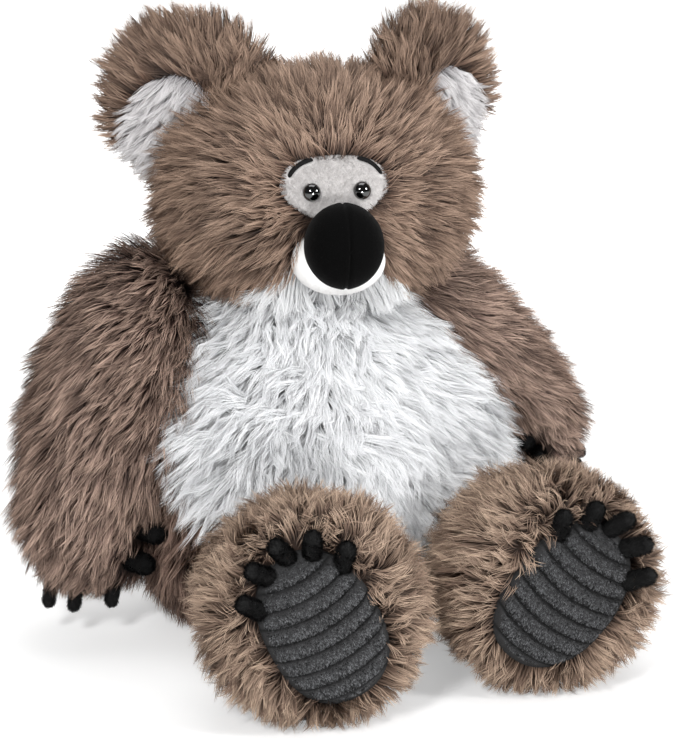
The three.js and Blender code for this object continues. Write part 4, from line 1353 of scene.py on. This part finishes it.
@dataclass(frozen=True)
class Ear:
    """One round ear with its white lining."""

    side: Side
    form: Form = Form((61.0, 60.0, 17.0), forward=True)
    inset: Triple = (-13.0, -13.0, -9.0)
    out: float = 81.0
    back: float = 16.0
    rise: float = 56.0
    yaw: tuple[float, float] = (40.0, 25.0)
    seam: float = -43.0
    root_depth: float = 22.0
    lining_half: tuple[float, float] = (31.0, 41.0)
    lining_centre: tuple[float, float] = (8.0, -20.0)
    pile: Pile = Pile(length=31.0, width=0.6, density=1.4)
    lining_pile: Pile = Pile(length=22.0, density=1.8, lock_density=0.09, sway=3.0)

    def build(self) -> None:
        """Builds and dresses the ear."""
        word, sign, body = self.side.word, self.side.value, f"ear_{self.side.word}"
        spot = at(sign * self.out, self.back, self.rise) @ turned(sign * self.side.of(self.yaw), "Z")
        place = Place(HEAD_PLACE.matrix @ spot, self.side.mirrored)
        tilt = math.radians(self.seam)
        up = np.array([-math.sin(tilt), 0.0, math.cos(tilt)])
        mesh = self.form.mesh(f"ear_cloth_{word}", (64, 36), self.inset, place)
        cut_flat(mesh, place.out(up * -(self.root_depth + 6.0)), -place.way(up))
        dress(f"ear_cloth_{word}", mesh, Stuff.BROWN_BACKING, body, [body])

        cloth = self.form.mesh(f"ear_coat_{word}", (84, 60), self.inset, place)
        local = place.back(places_of(cloth))
        x, y, z = local.T
        clear = step_up(local @ up, -self.root_depth - 2.0, -self.root_depth + 6.0)
        lined = oval_share(x - self.lining_centre[0], z - self.lining_centre[1], *self.lining_half, 2.0)
        inside = np.where(y < -1.0, 1 - step_up(lined, 0.9, 1.05), 0.0)
        comb = place.way(local - up * -30.0) / 50.0 + np.array([0, 0, -0.1])
        flatness = np.clip(np.hypot(x / self.form.half[0], z / self.form.half[1]), 0, 1)
        coat = Coat(comb, clear * (1 - inside), 0.8 + 0.2 * flatness, 1.2 - 0.25 * flatness, tone=0.5)
        self.pile.grow(f"ear_fur_{word}", cloth, coat, Stuff.HEAD_FUR, body, SEEDS["ear"] + sign)
        comb = place.way(np.stack([0.35 + x / 60, np.zeros(len(x)), np.full(len(x), -0.8)], axis=1))
        # The low tone and the darker lining finish paint the shade that lies inside the ear.
        coat = Coat(comb, clear * inside, long=1.0, lean=1.0, tone=0.35)
        name, nodes = f"ear_lining_fur_{word}", [f"ear_lining_{word}"]
        self.lining_pile.grow(name, cloth, coat, Stuff.LINING_FUR, body, SEEDS["lining"] + sign, nodes)


# Torso


@dataclass(frozen=True)
class Shoulder:
    """The flat seam on which an arm swings."""

    side: Side
    out: float
    slope: float
    swing: float
    back: float = 4.0
    height: float = 205.0

    @property
    def place(self) -> Place:
        """The seam's frame: X outward from the seam, mirrored on the right."""
        sign = self.side.value
        matrix = at(sign * self.out, self.back, self.height) @ turned(-sign * self.slope, "Y")
        return Place(matrix, self.side.mirrored)

    @property
    def arm_place(self) -> Place:
        """The arm's frame at rest."""
        return Place(self.place.matrix @ turned(-self.swing, "X"), self.side.mirrored)


SHOULDERS = {
    Side.LEFT: Shoulder(Side.LEFT, out=66.0, slope=40.0, swing=-3.0),
    Side.RIGHT: Shoulder(Side.RIGHT, out=85.0, slope=15.5, swing=6.0),
}


@dataclass(frozen=True)
class Torso:
    """The seated body with its white belly, its flat seat and the pellets in it."""

    inset: float = 14.0
    top: float = 229.0
    belly_half: tuple[float, float] = (112.0, 86.0)
    belly_centre: float = 152.0
    belly_spread: float = 0.12
    belly_power: float = 2.2
    seat_half: tuple[float, float] = (84.0, 66.0)
    seat_thickness: float = 5.0
    bag: Form = Form((60.0, 46.0, 20.0), centre=(0.0, 0.0, 27.3))
    pile: Pile = Pile(length=30.0, width=0.75, density=0.65, floor=0.5)
    belly_pile: Pile = Pile(
        length=42.0, width=0.52, density=1.45, lock_density=0.07, pull=0.93, ruffle=1.5, ruffle_size=38.0,
        tuft=2.3, tuft_size=22.0, lock_jitter=0.55, sway=5.2, curl=4.6, frizz=1.2,
    )

    def build(self) -> None:
        """Builds and dresses every piece of the body."""
        mesh = TORSO_FORM.mesh("torso_cloth", (80, 52), -self.inset)
        cut_flat(mesh, (0, 0, self.seat_thickness + 0.3), (0, 0, -1))
        cut_flat(mesh, (0, 0, self.top), (0, 0, 1))
        for shoulder in SHOULDERS.values():
            cut_flat(mesh, shoulder.place.out((-0.3, 0, 0)), shoulder.place.way((1.0, 0, 0)))
        rooms = [room for side in Side for room in Leg(side).room()]
        mesh = combine("torso_cloth", mesh, rooms, "DIFFERENCE")
        dress("torso_cloth", mesh, Stuff.BROWN_BACKING, "trunk", ["torso"])
        self.seat()
        self.pellets()
        self.fur()

    def seat(self) -> None:
        """The flat panel that the toy sits on."""
        sheet = Sheet(24, 20, 2.3)
        u, v = sheet.places()
        x, z = u * self.seat_half[0], v * self.seat_half[1]
        points, faces = sheet.panel(x, z, np.zeros_like(x), self.seat_thickness)
        points = points[:, [0, 2, 1]] * (1, -1, 1)
        points[:, 2] = np.where(points[:, 2] > 1, self.seat_thickness, 0.0)
        mesh = face_outwards(new_mesh("seat_cloth", points, faces))
        dress("seat_cloth", mesh, Stuff.BROWN_BACKING, "trunk", ["seat_panel"])

    def pellets(self) -> None:
        """The bag of pellets that keeps the toy upright."""
        ball, faces = ball_grid(64, 40)
        lumps = np.sin(ball[:, 0] * 17) * np.sin(ball[:, 1] * 15 + 1) * np.sin(ball[:, 2] * 13 + 2)
        mesh = new_mesh("pellet_pouch", self.bag.points(ball) - ball * (lumps * 1.2 + 1.2)[:, None], faces)
        dress("pellet_pouch", mesh, Stuff.CALICO, "trunk", ["pellet_bag"])

    def fur(self) -> None:
        """The brown fur of the body and the white fur of the belly."""
        cloth = TORSO_FORM.mesh("torso_coat", (120, 80), -self.inset)
        local = places_of(cloth)
        x, y, z = local.T
        clear = step_up(z, 1.0, 6.0) * (1 - step_up(z, self.top - 8, self.top))
        for shoulder in SHOULDERS.values():
            clear = clear * (1 - step_up(shoulder.place.back(local)[:, 0], -6.0, 0.0))
        for side in Side:
            clear = clear * Leg(side).outside(local)
        up = (z - self.belly_centre) / self.belly_half[1]
        wide = self.belly_half[0] * (1 + self.belly_spread * np.clip(up, -1, 1))
        belly = oval_share(x, up, wide, 1.0, self.belly_power)
        in_belly = np.where(y < 0, 1 - step_up(belly, 0.96, 1.02), 0.0)
        kept = (in_belly > 0.3) & (clear > 0.2)
        for side in Side:
            kept &= Leg(side).clears_lifted(local)
        self.belly_cloth(cloth, kept)

        outward = local * (1, 1, 0) / np.maximum(np.hypot(x, y), 1)[:, None]
        comb = np.array([0, 0, -1.0]) + outward * 0.35
        length = 0.9 + 0.1 * step_up(z, 0, 60)
        lean = 0.95 + 0.1 * step_up(z, 60, 0.0)
        front, left = step_up(-y, -20.0, 20.0), step_up(x, -25.0, 25.0)
        for i, (word, share) in enumerate(quarters(("front", "back"), front, left).items()):
            coat = Coat(comb, share * clear * (1 - in_belly), length, lean, tone=0.45)
            self.pile.grow(f"torso_fur_{word}", cloth, coat, Stuff.BODY_FUR, "trunk", SEEDS["torso"] + i)
        fan = np.stack([x / 130.0, np.full(len(x), -0.1), np.full(len(x), -1.0)], axis=1)
        length = 0.75 + 0.25 * step_up(-z, -210, -150)
        for i, (word, share) in enumerate((("left", left), ("right", 1 - left))):
            coat = Coat(fan, share * clear * in_belly, length, lean=0.95, tone=0.55)
            name, seed = f"belly_fur_{word}", SEEDS["belly"] + i
            self.belly_pile.grow(name, cloth, coat, Stuff.WHITE_FUR, "trunk", seed)

    def belly_cloth(self, cloth: bpy.types.Mesh, kept: Points) -> None:
        """The white cloth under the belly fur.

        Args:
            cloth: the surface that the body's fur grows on.
            kept: which of its vertices lie in the belly.
        """
        forward, thickness = 0.0008, 0.0006
        mesh = bpy.data.meshes.new("belly_cloth")
        with worked(cloth, mesh) as work:
            spare = [v for v, keep in zip(work.verts, kept) if not keep]
            bmesh.ops.delete(work, geom=spare, context="VERTS")
            bmesh.ops.translate(work, vec=(0, -forward, 0), verts=work.verts[:])
            bmesh.ops.solidify(work, geom=work.faces[:], thickness=thickness)
        dress("belly_cloth", smooth(mesh), Stuff.WHITE_BACKING, "trunk", ["belly_panel"])


# Digits

DIGIT_INSET = 1.5
DIGIT_NAP = Pile(
    length=2.6, width=0.45, density=3.4, segments=1, lock_density=0.3, pull=0.4, tuft=2.0, tuft_size=5.0,
    sway=0.0, frizz=0.0,
)


@dataclass(frozen=True)
class Digit:
    """A round-ended claw or toe."""

    node: str
    radius: float
    length: float
    centre: Triple
    way: Triple

    def points(self) -> tuple[Points, Faces]:
        """The cloth's vertices and faces, in the frame of the limb."""
        arc, radius, end = np.linspace(0, math.pi / 2, 7), self.radius - DIGIT_INSET, self.length / 2
        low = [(radius * math.sin(a), -end - radius * math.cos(a)) for a in arc]
        middle = [(radius, self.length * (s - 0.5)) for s in (0.25, 0.5, 0.75)]
        high = [(radius * math.cos(a), end + radius * math.sin(a)) for a in arc]
        points, faces = lathe([*low, *middle, *high], 20)
        turn = np.array(Vector((0, 0, 1)).rotation_difference(Vector(self.way)).to_matrix())
        return points @ turn.T + np.asarray(self.centre), faces

    def build(self, place: Place, body: str) -> None:
        """Builds the digit's cloth and the short nap on it.

        Args:
            place: the frame of the limb.
            body: the body that it rides on.
        """
        mesh = new_mesh(f"{self.node}_cloth", *self.points(), place)
        cloth = mesh.copy()
        dress(f"{self.node}_cloth", mesh, Stuff.BLACK_CLOTH, body, [self.node])
        coat = Coat(place.way(self.way), cover=1.0, long=1.0, lean=0.8, tone=0.5)
        DIGIT_NAP.grow(f"{self.node}_nap", cloth, coat, Stuff.BLACK_NAP, body, sum(map(ord, self.node)))


# Arms


@dataclass(frozen=True)
class Arm:
    """One long arm with three fingers and two thumbs."""

    side: Side
    half_thickness: tuple[float, float] = (38.0, 54.0)
    half_width: float = 54.0
    half_length: tuple[float, float] = (121.0, 122.0)
    top_rise: float = 52.0
    out: tuple[float, float] = (31.0, 46.0)
    inset: float = 13.0
    finger_radius: float = 5.5
    finger_length: float = 26.0
    finger_reaches: Triple = (5.0, 13.0, 14.0)
    finger_out: Triple = (0.46, 0.94, 1.26)
    finger_back: Triple = (-0.26, -0.08, 0.1)
    finger_tilt: float = 0.12
    thumb_radius: float = 8.0
    thumb_length: float = 12.0
    thumb_stand: float = 4.0
    thumb_out: tuple[float, float] = (0.2, 0.3)
    thumb_rises: tuple[tuple[float, float], tuple[float, float]] = ((62.0, 39.0), (54.0, 31.0))
    thumb_yaw: float = -24.0
    seam_reach: float = 10.0
    ridge: Triple = (-55.0, 0.0, 62.0)
    pile: Pile = Pile(length=32.0, width=0.6, density=0.82, sway=3.4)

    @property
    def form(self) -> Form:
        """The arm's form in its own frame."""
        length = self.side.of(self.half_length)
        return Form(
            (self.side.of(self.half_thickness), self.half_width, length),
            power=2.7,
            swell=(0.98, 0.98, 1.0, 0.89, 0.76),
            lean=(0.0, 0.0, 0.0, 0.0, -0.06),
            lean_axis=0,
            centre=(self.side.of(self.out), 0.0, self.top_rise - length),
        )

    @property
    def skin(self) -> Form:
        """The form under the fur, which still reaches the seam on its inner side."""
        form = self.form
        x, y, z = form.centre
        thick, wide, long = (half - self.inset for half in form.half)
        return replace(form, half=(thick + self.seam_reach, wide, long), centre=(x - self.seam_reach, y, z))

    @property
    def end(self) -> float:
        """The height of the hand's end in the arm's frame."""
        return self.top_rise - 2 * self.side.of(self.half_length)

    def build(self) -> None:
        """Builds and dresses the arm and its digits."""
        word, body = self.side.word, f"arm_{self.side.word}"
        place = SHOULDERS[self.side].arm_place
        mesh = self.skin.mesh(f"arm_cloth_{word}", (64, 44), place=place)
        cut_flat(mesh, place.out((0.3, 0, 0)), place.way((-1.0, 0, 0)))
        dress(f"arm_cloth_{word}", mesh, Stuff.BROWN_BACKING, body, [f"arm_{word}"])
        self.fur(place, body)
        for digit in (*self.fingers(), *self.thumbs()):
            digit.build(place, body)

    def fur(self, place: Place, body: str) -> None:
        """The arm's fur, which falls from its ridge and grows short at the hand.

        Args:
            place: the arm's frame.
            body: the body that it rides on.
        """
        word = self.side.word
        cloth = self.skin.mesh(f"arm_coat_{word}", (90, 64), place=place)
        local = place.back(places_of(cloth))
        x, y, z = local.T
        clear = np.maximum(step_up(x, 0.0, 3.0), (1 - step_up(z, -90.0, -60.0)) * step_up(x, -2.0, 3.0))
        clear = clear * step_up(egg_share(HEAD_PLACE.back(places_of(cloth)), HEAD_FORM.half), 0.9, 1.0)
        away = (local - np.array(self.ridge)) * (1.0, 0.35, 1.0)
        away /= np.linalg.norm(away, axis=1, keepdims=True)
        high = step_up(z, -120.0, 20.0)[:, None]
        comb = place.way(away * (0.6 + 0.8 * high) + np.array([0.15, 0, 0])) + np.array([0, 0, -0.55])
        hand = 1 - step_up(z, self.end, self.end + 70)
        length = 1.0 - 0.3 * hand
        for thumb in self.thumbs():
            gap, radius = np.linalg.norm(local - np.asarray(thumb.centre), axis=1), thumb.radius
            clear = clear * step_up(gap, radius + 4.0, radius + 9.0)
            length = length * (0.68 + 0.32 * step_up(gap, radius + 6.0, radius + 30.0))
        front = step_up(-y, -16.0, 16.0)
        for i, (half, share) in enumerate((("front", front), ("back", 1 - front))):
            coat = Coat(comb, share * clear, length, 0.98 + 0.05 * hand, tone=0.45)
            seed = SEEDS["arm"] + i + 10 * self.side.value
            self.pile.grow(f"arm_fur_{word}_{half}", cloth, coat, Stuff.ARM_FUR, body, seed)

    def fingers(self) -> list[Digit]:
        """The fingers along the end of the hand."""
        made = []
        for i, reach in enumerate(self.finger_reaches):
            x, y = self.finger_out[i] * self.side.of(self.out), self.finger_back[i] * self.half_width
            rise = self.finger_length / 2 - reach + self.finger_radius
            name, centre = f"claw_{self.side.word}_{i + 1}", (x, y, self.end + rise)
            way = (0, -self.finger_tilt, -1)
            made.append(Digit(name, self.finger_radius, self.finger_length, centre, way))
        return made

    def thumbs(self) -> list[Digit]:
        """The thumbs on the front of the hand."""
        made = []
        yaw, x = math.radians(self.thumb_yaw), self.side.of(self.thumb_out) * self.side.of(self.out)
        for i, rise in enumerate(self.side.of(self.thumb_rises), len(self.finger_reaches) + 1):
            y = self.form.front(np.array([x]), np.array([self.end + rise]))[0] - self.thumb_stand
            name, way = f"claw_{self.side.word}_{i}", (math.sin(yaw), -math.cos(yaw), 0)
            made.append(Digit(name, self.thumb_radius, self.thumb_length, (x, y, self.end + rise), way))
        return made


# Legs


@dataclass(frozen=True)
class Leg:
    """One short leg with its big round foot, ribbed sole and toes."""

    side: Side
    hip: Triple = (64.0, -62.0, 62.0)
    splay: float = 7.0
    root_radius: float = 47.0
    tube: Form = Form((44.0, 43.0, 80.0), forward=True, centre=(0.0, -42.0, 0.0))
    foot: Form = Form((70.0, 74.0, 60.0), power=3.0, swell=(0.9, 0.94, 1.0, 1.02, 1.0), forward=True)
    foot_forward: float = 144.0
    foot_height: float = 72.0
    foot_yaw: tuple[float, float] = (-18.0, 5.0)
    foot_roll: tuple[float, float] = (38.0, 27.0)
    inset: float = 12.0
    clearance: float = 3.0
    lift_limit: float = 30.0
    lifted_half: Triple = (36.0, 72.0, 35.0)
    room_half: Triple = (42.0, 80.0, 41.0)
    under_foot_half: Triple = (32.0, 70.0, 31.0)
    under_root_half: Triple = (31.0, 68.0, 30.0)
    under_leg_half: Triple = (58.0, 48.0, 62.0)
    pad_half: tuple[float, float] = (36.0, 51.5)
    pad_power: float = 2.3
    pad_depth: float = 3.0
    pad_thickness: float = 8.0
    pad_edge: float = 2.5
    ribs: int = 9
    rib_bow: float = 7.0
    rib_arch: float = 1.6
    groove_width: float = 1.1
    groove_depth: float = 2.4
    toe_radius: float = 6.8
    toe_length: float = 14.0
    toe_fan: tuple[float, float] = (40.0, 141.0)
    toe_offset: float = 5.0
    toe_forward: float = 0.55
    toe_aside: tuple[float, ...] = (-0.4, 0.15, 0.25, 0.05, 0.3)
    pile: Pile = Pile(length=30.0, width=0.6, density=0.88, tuft=2.2, floor=0.4)
    sole_nap: Pile = Pile(
        length=1.7, width=0.55, density=3.6, segments=1, lock_density=0.9, pull=0.6, ruffle=0.5, tuft=3.0,
        tuft_size=1.8, sway=0.0, frizz=0.0,
    )

    @property
    def body(self) -> str:
        """The body that the leg is."""
        return f"leg_{self.side.word}"

    @property
    def hip_place(self) -> Place:
        """The hip's frame."""
        x, y, z = self.hip
        return Place(at(self.side.value * x, y, z), self.side.mirrored)

    @property
    def leg_place(self) -> Place:
        """The leg's frame."""
        return Place(self.hip_place.matrix @ turned(self.side.value * self.splay, "Z"), self.side.mirrored)

    @property
    def foot_place(self) -> Place:
        """The foot's frame: the sole looks along -Y, the toes are up."""
        sign = self.side.value
        matrix = self.leg_place.matrix @ at(0, -self.foot_forward, self.foot_height - self.hip[2])
        matrix = matrix @ turned(sign * self.side.of(self.foot_yaw), "Z")
        return Place(matrix @ turned(sign * self.side.of(self.foot_roll), "Y"), self.side.mirrored)

    def lifted_place(self, share: float) -> Place:
        """The leg's frame at a share of its lift."""
        matrix = self.hip_place.matrix @ turned(-self.lift_limit * share, "X")
        return Place(matrix @ turned(self.side.value * self.splay, "Z"), self.side.mirrored)

    def root(self, name: str, grid: tuple[int, int], grow: float = 0.0) -> bpy.types.Mesh:
        """The ball at the hip.

        Args:
            name: the mesh's name.
            grid: its columns and its bands.
            grow: what its radius gains.

        Returns:
            The mesh.
        """
        ball, faces = ball_grid(*grid)
        return new_mesh(name, ball * (self.root_radius - self.inset + grow), faces, self.hip_place)

    def room(self) -> list[bpy.types.Mesh]:
        """What the leg covers in the body while it lifts, with a little clearance."""
        grow, places = self.clearance - self.inset, [self.lifted_place(share) for share in (0.0, 0.5, 1.0)]
        tubes = [self.tube.mesh("room", (40, 24), grow, place) for place in places]
        return [self.root("room", (40, 24), self.clearance), *tubes]

    def tube_share(self, points: Points, half: Triple, place: Place | None = None) -> Points:
        """How far out places lie in an egg about the leg's middle.

        Args:
            points: the places.
            half: the egg's half sizes.
            place: the leg's frame, where it isn't at rest.

        Returns:
            Each place's share: 1 on the egg.
        """
        return egg_share((place or self.leg_place).back(points) - np.asarray(self.tube.centre), half)

    def clears_lifted(self, points: Points) -> Points:
        """Whether a place stays clear of the leg's cloth at the top of its lift."""
        return self.tube_share(points, self.lifted_half, self.lifted_place(1.0)) > 1.0

    def outside(self, points: Points) -> Points:
        """1 where a place is clear of the leg's room, 0 inside it."""
        ball = np.linalg.norm(self.hip_place.back(points), axis=1) / (self.root_radius - 2.0)
        return step_up(np.minimum(ball, self.tube_share(points, self.room_half)), 0.95, 1.06)

    def build(self) -> None:
        """Builds and dresses the leg, the foot, the sole and the toes."""
        word = self.side.word
        tube = self.tube.mesh("tube", (56, 36), -self.inset, self.leg_place)
        others = [self.root("root", (56, 36)), self.foot.mesh("foot", (56, 36), -self.inset, self.foot_place)]
        mesh = combine(f"leg_cloth_{word}", tube, others, "UNION")
        nodes = [f"leg_{word}", f"foot_{word}"]
        dress(f"leg_cloth_{word}", mesh, Stuff.BROWN_BACKING, self.body, nodes)
        self.leg_fur()
        self.foot_fur()
        self.sole()
        self.toes()

    def leg_fur(self) -> None:
        """The fur between the body and the foot, on the leg and on the ball at the hip."""
        word, sign = self.side.word, self.side.value
        comb = self.leg_place.way((0.1, -1.0, -0.35))
        tube = self.tube.mesh(f"leg_coat_{word}", (64, 48), -self.inset, self.leg_place)
        in_foot = egg_share(self.foot_place.back(places_of(tube)), self.under_leg_half)
        root = self.root(f"leg_root_coat_{word}", (64, 48))
        in_tube = self.tube_share(places_of(root), self.under_root_half)
        for part, cloth, open_share, low in (
            ("leg", tube, step_up(in_foot, 0.92, 1.0), 4.0),
            ("leg_root", root, step_up(in_tube, 0.9, 1.0), 6.0),
        ):
            places = places_of(cloth)
            depth = TORSO_FORM.front(places[:, 0], np.clip(places[:, 2], -20, 250)) - places[:, 1]
            cover = 0.75 * step_up(depth, -34.0, -20.0) * open_share * step_up(places[:, 2], low, low + 6.0)
            coat = Coat(comb, cover, long=0.85, lean=1.0, tone=0.45)
            name, seed = f"{part}_fur_{word}", SEEDS[part] + sign
            self.pile.grow(name, cloth, coat, Stuff.FOOT_FUR, self.body, seed)

    def foot_fur(self) -> None:
        """The fur of the foot, which lies away from the sole."""
        word = self.side.word
        cloth = self.foot.mesh(f"foot_coat_{word}", (84, 64), -self.inset, self.foot_place)
        places = places_of(cloth)
        x, y, z = self.foot_place.back(places).T
        pad = oval_share(x, z, *self.pad_half, self.pad_power)
        high = step_up(z, 0.0, 30.0)
        off_pad = np.where(y < 0, step_up(pad - 0.1 * high, 0.88, 0.98), 1.0)
        cover = off_pad * step_up(self.tube_share(places, self.under_foot_half), 0.95, 1.05)
        radial = np.stack([x, np.zeros_like(x), z], axis=1) / np.maximum(np.hypot(x, z), 1)[:, None]
        radial[:, 1] = 0.25 + 0.6 * step_up(y, -12.0, 22.0)
        near = np.where(y < 0, step_up(pad, 0.95, 1.65), 1.0)
        comb = self.foot_place.way(radial) + np.array([0, 0, -0.35])
        comb = comb * (0.3 + 0.7 * near - 0.35 * high * (1 - near))[:, None]
        length = 0.72 + 0.22 * near - 0.16 * step_up(z, 30.0, 70.0)
        back = step_up(y, -24.0, 0.0)
        for i, (half, share) in enumerate((("front", 1 - back), ("back", 0.72 * back))):
            coat = Coat(comb, share * cover, length, 0.62 + 0.33 * near, tone=0.5)
            seed = SEEDS["foot"] + i + 10 * self.side.value
            self.pile.grow(f"foot_fur_{word}_{half}", cloth, coat, Stuff.FOOT_FUR, self.body, seed)

    def sole(self) -> None:
        """The ribbed sole pad, crowned between its grooves, and the nap on its ribs."""
        word, (wide, tall) = self.side.word, self.pad_half
        sheet = Sheet(72, 120, self.pad_power)
        u, v = sheet.places()
        x, z = u * wide, v * tall
        pitch = 2 * tall / self.ribs
        phase = (z - self.rib_bow * (x / wide) ** 2 + self.rib_bow / 2 + tall) / pitch
        off = np.abs(phase - np.round(phase)) * pitch
        inner = (np.round(phase) > 0) & (np.round(phase) < self.ribs)
        groove = np.where(inner, np.exp(-((off / self.groove_width) ** 2)), 0.0)
        crown = 1 - step_up(oval_share(x, z, wide, tall, self.pad_power), 0.86, 1.0)
        lift = np.sin(np.pi * off / pitch)
        relief = groove * self.groove_depth - np.where(inner, 1.0, 0.5) * lift * self.rib_arch
        y = self.foot.front(x, z, -self.pad_depth) + relief * crown
        y += (1 - crown) * self.pad_edge
        points, faces = sheet.panel(x, z, y, self.pad_thickness - self.pad_edge)
        mesh = new_mesh(f"sole_{word}", points, faces, self.foot_place)
        # rib is 0 in the grooves and lower towards the pad's edge: where it is low, the sole's finish paints
        # groove shade.
        rib = np.ones(len(points))
        rib[: len(x)] = (1 - groove) * (0.35 + 0.65 * crown)
        hold(mesh, "rib", rib)
        dress(f"sole_{word}", mesh, Stuff.SOLE_CLOTH, self.body, [f"sole_pad_{word}"])

        rows = np.stack([x, y, z], axis=1)
        cloth = new_mesh(f"sole_nap_cloth_{word}", rows, sheet.faces, self.foot_place)
        ridge = (1 - groove) * crown
        comb, cover = self.foot_place.way((0.2, 0.0, -1.0)), step_up(ridge, 0.45, 0.9)
        # The nap's tone rises with lift, so the rib crowns carry a painted highlight.
        coat = Coat(comb, cover, 0.4 + 0.6 * ridge, lean=0.6, tone=0.6 * lift - 0.02)
        seed = SEEDS["sole"] + self.side.value
        self.sole_nap.grow(f"sole_nap_{word}", cloth, coat, Stuff.SOLE_NAP, self.body, seed)

    def toes(self) -> None:
        """The toes, fanned along the top edge of the sole."""
        low, high = self.toe_fan
        for i, aside in enumerate(self.toe_aside):
            turn = math.radians(low + (high - low) * (i / (len(self.toe_aside) - 1)))
            x = (self.pad_half[0] + self.toe_offset) * math.cos(turn)
            z = (self.pad_half[1] + self.toe_offset) * math.sin(turn)
            reach = math.hypot(x / self.foot.half[0], z / self.foot.half[1])
            y = -self.foot.half[2] * (1 - reach**self.foot.power) ** (1 / self.foot.power)
            across, up = math.cos(turn) + aside * math.sin(turn), math.sin(turn) - aside * math.cos(turn)
            name, way = f"toe_{self.side.word}_{i + 1}", (across, -self.toe_forward, up)
            toe = Digit(name, self.toe_radius, self.toe_length, (x, y, z), way)
            toe.build(self.foot_place, self.body)


# Studio


@dataclass(frozen=True)
class Studio:
    """The floor, the lights and the camera."""

    azimuth: float = -22.0
    elevation: float = 13.0
    distance: float = 2.0
    target: Triple = (0.0, 0.0, 0.22)
    focal_pixels: float = 2900.0
    frame_pixels: tuple[int, int] = (679, 740)
    off_centre: tuple[float, float] = (32.5, 75.0)
    ambient: float = 0.37
    lamps: tuple[tuple[str, Triple, float, float], ...] = (
        ("key", (-1.5, -1.9, 1.6), 0.4, 45.0),
        ("fill", (1.5, -1.9, 1.3), 0.45, 35.0),
        ("front", (-0.35, -2.6, 0.14), 0.2, 24.0),
        ("top", (0.2, 0.3, 2.4), 1.8, 22.0),
        ("back", (0.3, 2.2, 1.4), 1.6, 14.0),
    )

    def build(self) -> None:
        """Sets the camera, the lights and the floor."""
        scene = bpy.context.scene
        scene.view_settings.view_transform = "Standard"
        self.camera(scene)
        self.light(scene)
        self.floor()

    @staticmethod
    def aim(name: str, data: bpy.types.ID, place: Vector, target: Vector) -> bpy.types.Object:
        """Puts a camera or a lamp at a place, looking at a target.

        Args:
            name: its name.
            data: the camera or the lamp.
            place: where it is.
            target: what it looks at.

        Returns:
            The object.
        """
        made = bpy.data.objects.new(name, data)
        made.location = place
        made.rotation_mode = "QUATERNION"
        made.rotation_quaternion = (target - place).to_track_quat("-Z", "Y")
        bpy.context.scene.collection.objects.link(made)
        return made

    def camera(self, scene: bpy.types.Scene) -> None:
        """The camera at the photograph's angle."""
        a, e = math.radians(self.azimuth), math.radians(self.elevation)
        back = Vector((math.sin(a) * math.cos(e), -math.cos(a) * math.cos(e), math.sin(e)))
        right = Vector((math.cos(a), math.sin(a), 0.0))
        aside, below = (p / self.focal_pixels * self.distance for p in self.off_centre)
        target = Vector(self.target)
        data = bpy.data.cameras.new("camera")
        data.sensor_width = 36.0
        data.lens = self.focal_pixels / max(self.frame_pixels) * data.sensor_width
        aim = target + right * aside - back.cross(right) * below
        scene.camera = self.aim("camera", data, target + back * self.distance, aim)

    def light(self, scene: bpy.types.Scene) -> None:
        """Soft lamps in front, above and behind, and a white world."""
        for name, place, size, power in self.lamps:
            data = bpy.data.lights.new(name, "AREA")
            data.shape, data.size, data.energy = "SQUARE", size, power
            self.aim(name, data, Vector(place), Vector((0, 0, 0.2)))
        world = bpy.data.worlds.new("studio")
        w = cleared(world)
        seen = w.node("ShaderNodeLightPath", out="Is Camera Ray")
        mirrored = seen.beside("Is Glossy Ray")
        level = seen * (1.0 - self.ambient) + self.ambient - mirrored * (0.8 * self.ambient)
        background = w.node("ShaderNodeBackground", None, {"Color": (1, 1, 1, 1), "Strength": level})
        w.node("ShaderNodeOutputWorld", None, {"Surface": background})
        scene.world = world

    @staticmethod
    def floor() -> None:
        """A pale floor that keeps the toy's shadow and glows to white away from it."""
        size, depth = 40.0, -0.0002
        mesh = bpy.data.meshes.new("floor")
        corners = [(x * size, y * size, depth) for x, y in ((-1, -1), (1, -1), (1, 1), (-1, 1))]
        mesh.from_pydata(corners, [], [(0, 1, 2, 3)])
        material = bpy.data.materials.new("floor")
        w = cleared(material)
        reach = w.node("ShaderNodeTexCoord", out="Object").step("LENGTH")
        fade = {0: reach, 1: 0.3, 2: 1.3, 3: 0.36, 4: 1.0}
        rise = w.node("ShaderNodeMapRange", {"interpolation_type": "SMOOTHSTEP"}, fade)
        seen = w.node("ShaderNodeLightPath", out="Is Camera Ray")
        glow = w.node("ShaderNodeEmission", None, {"Color": (1, 1, 1, 1), "Strength": rise * seen})
        cloth = w.node("ShaderNodeBsdfDiffuse", None, {"Color": (0.8, 0.8, 0.8, 1)})
        both = w.node("ShaderNodeAddShader", None, {0: cloth, 1: glow})
        w.node("ShaderNodeOutputMaterial", None, {"Surface": both})
        mesh.materials.append(material)
        add_object("floor", mesh)


def dress_fittings() -> None:
    """Gives the hidden eye washers their finish."""
    for side in Side:
        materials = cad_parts[f"eye_washer_{side.word}"].data.materials
        materials.clear()
        materials.append(Stuff.MOULDED.value.material())


def write_sizes() -> None:
    """Brings the view layer up to date; no sizes are written."""
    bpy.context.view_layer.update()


def main() -> None:
    """Builds the toy and the studio."""
    logging.basicConfig(level=logging.INFO, format="%(name)s %(message)s")
    Studio().build()
    Torso().build()
    Head().build()
    for side in Side:
        Ear(side).build()
        Arm(side).build()
        Leg(side).build()
    dress_fittings()
    write_sizes()
    shown = [o for o in bpy.context.scene.objects if o.type == "MESH" and not o.hide_render]
    triangles = sum(len(p.vertices) - 2 for o in shown for p in o.data.polygons)
    log.info("%d triangles in %d pieces", triangles, len(shown))


if __name__ == "__main__":
    main()
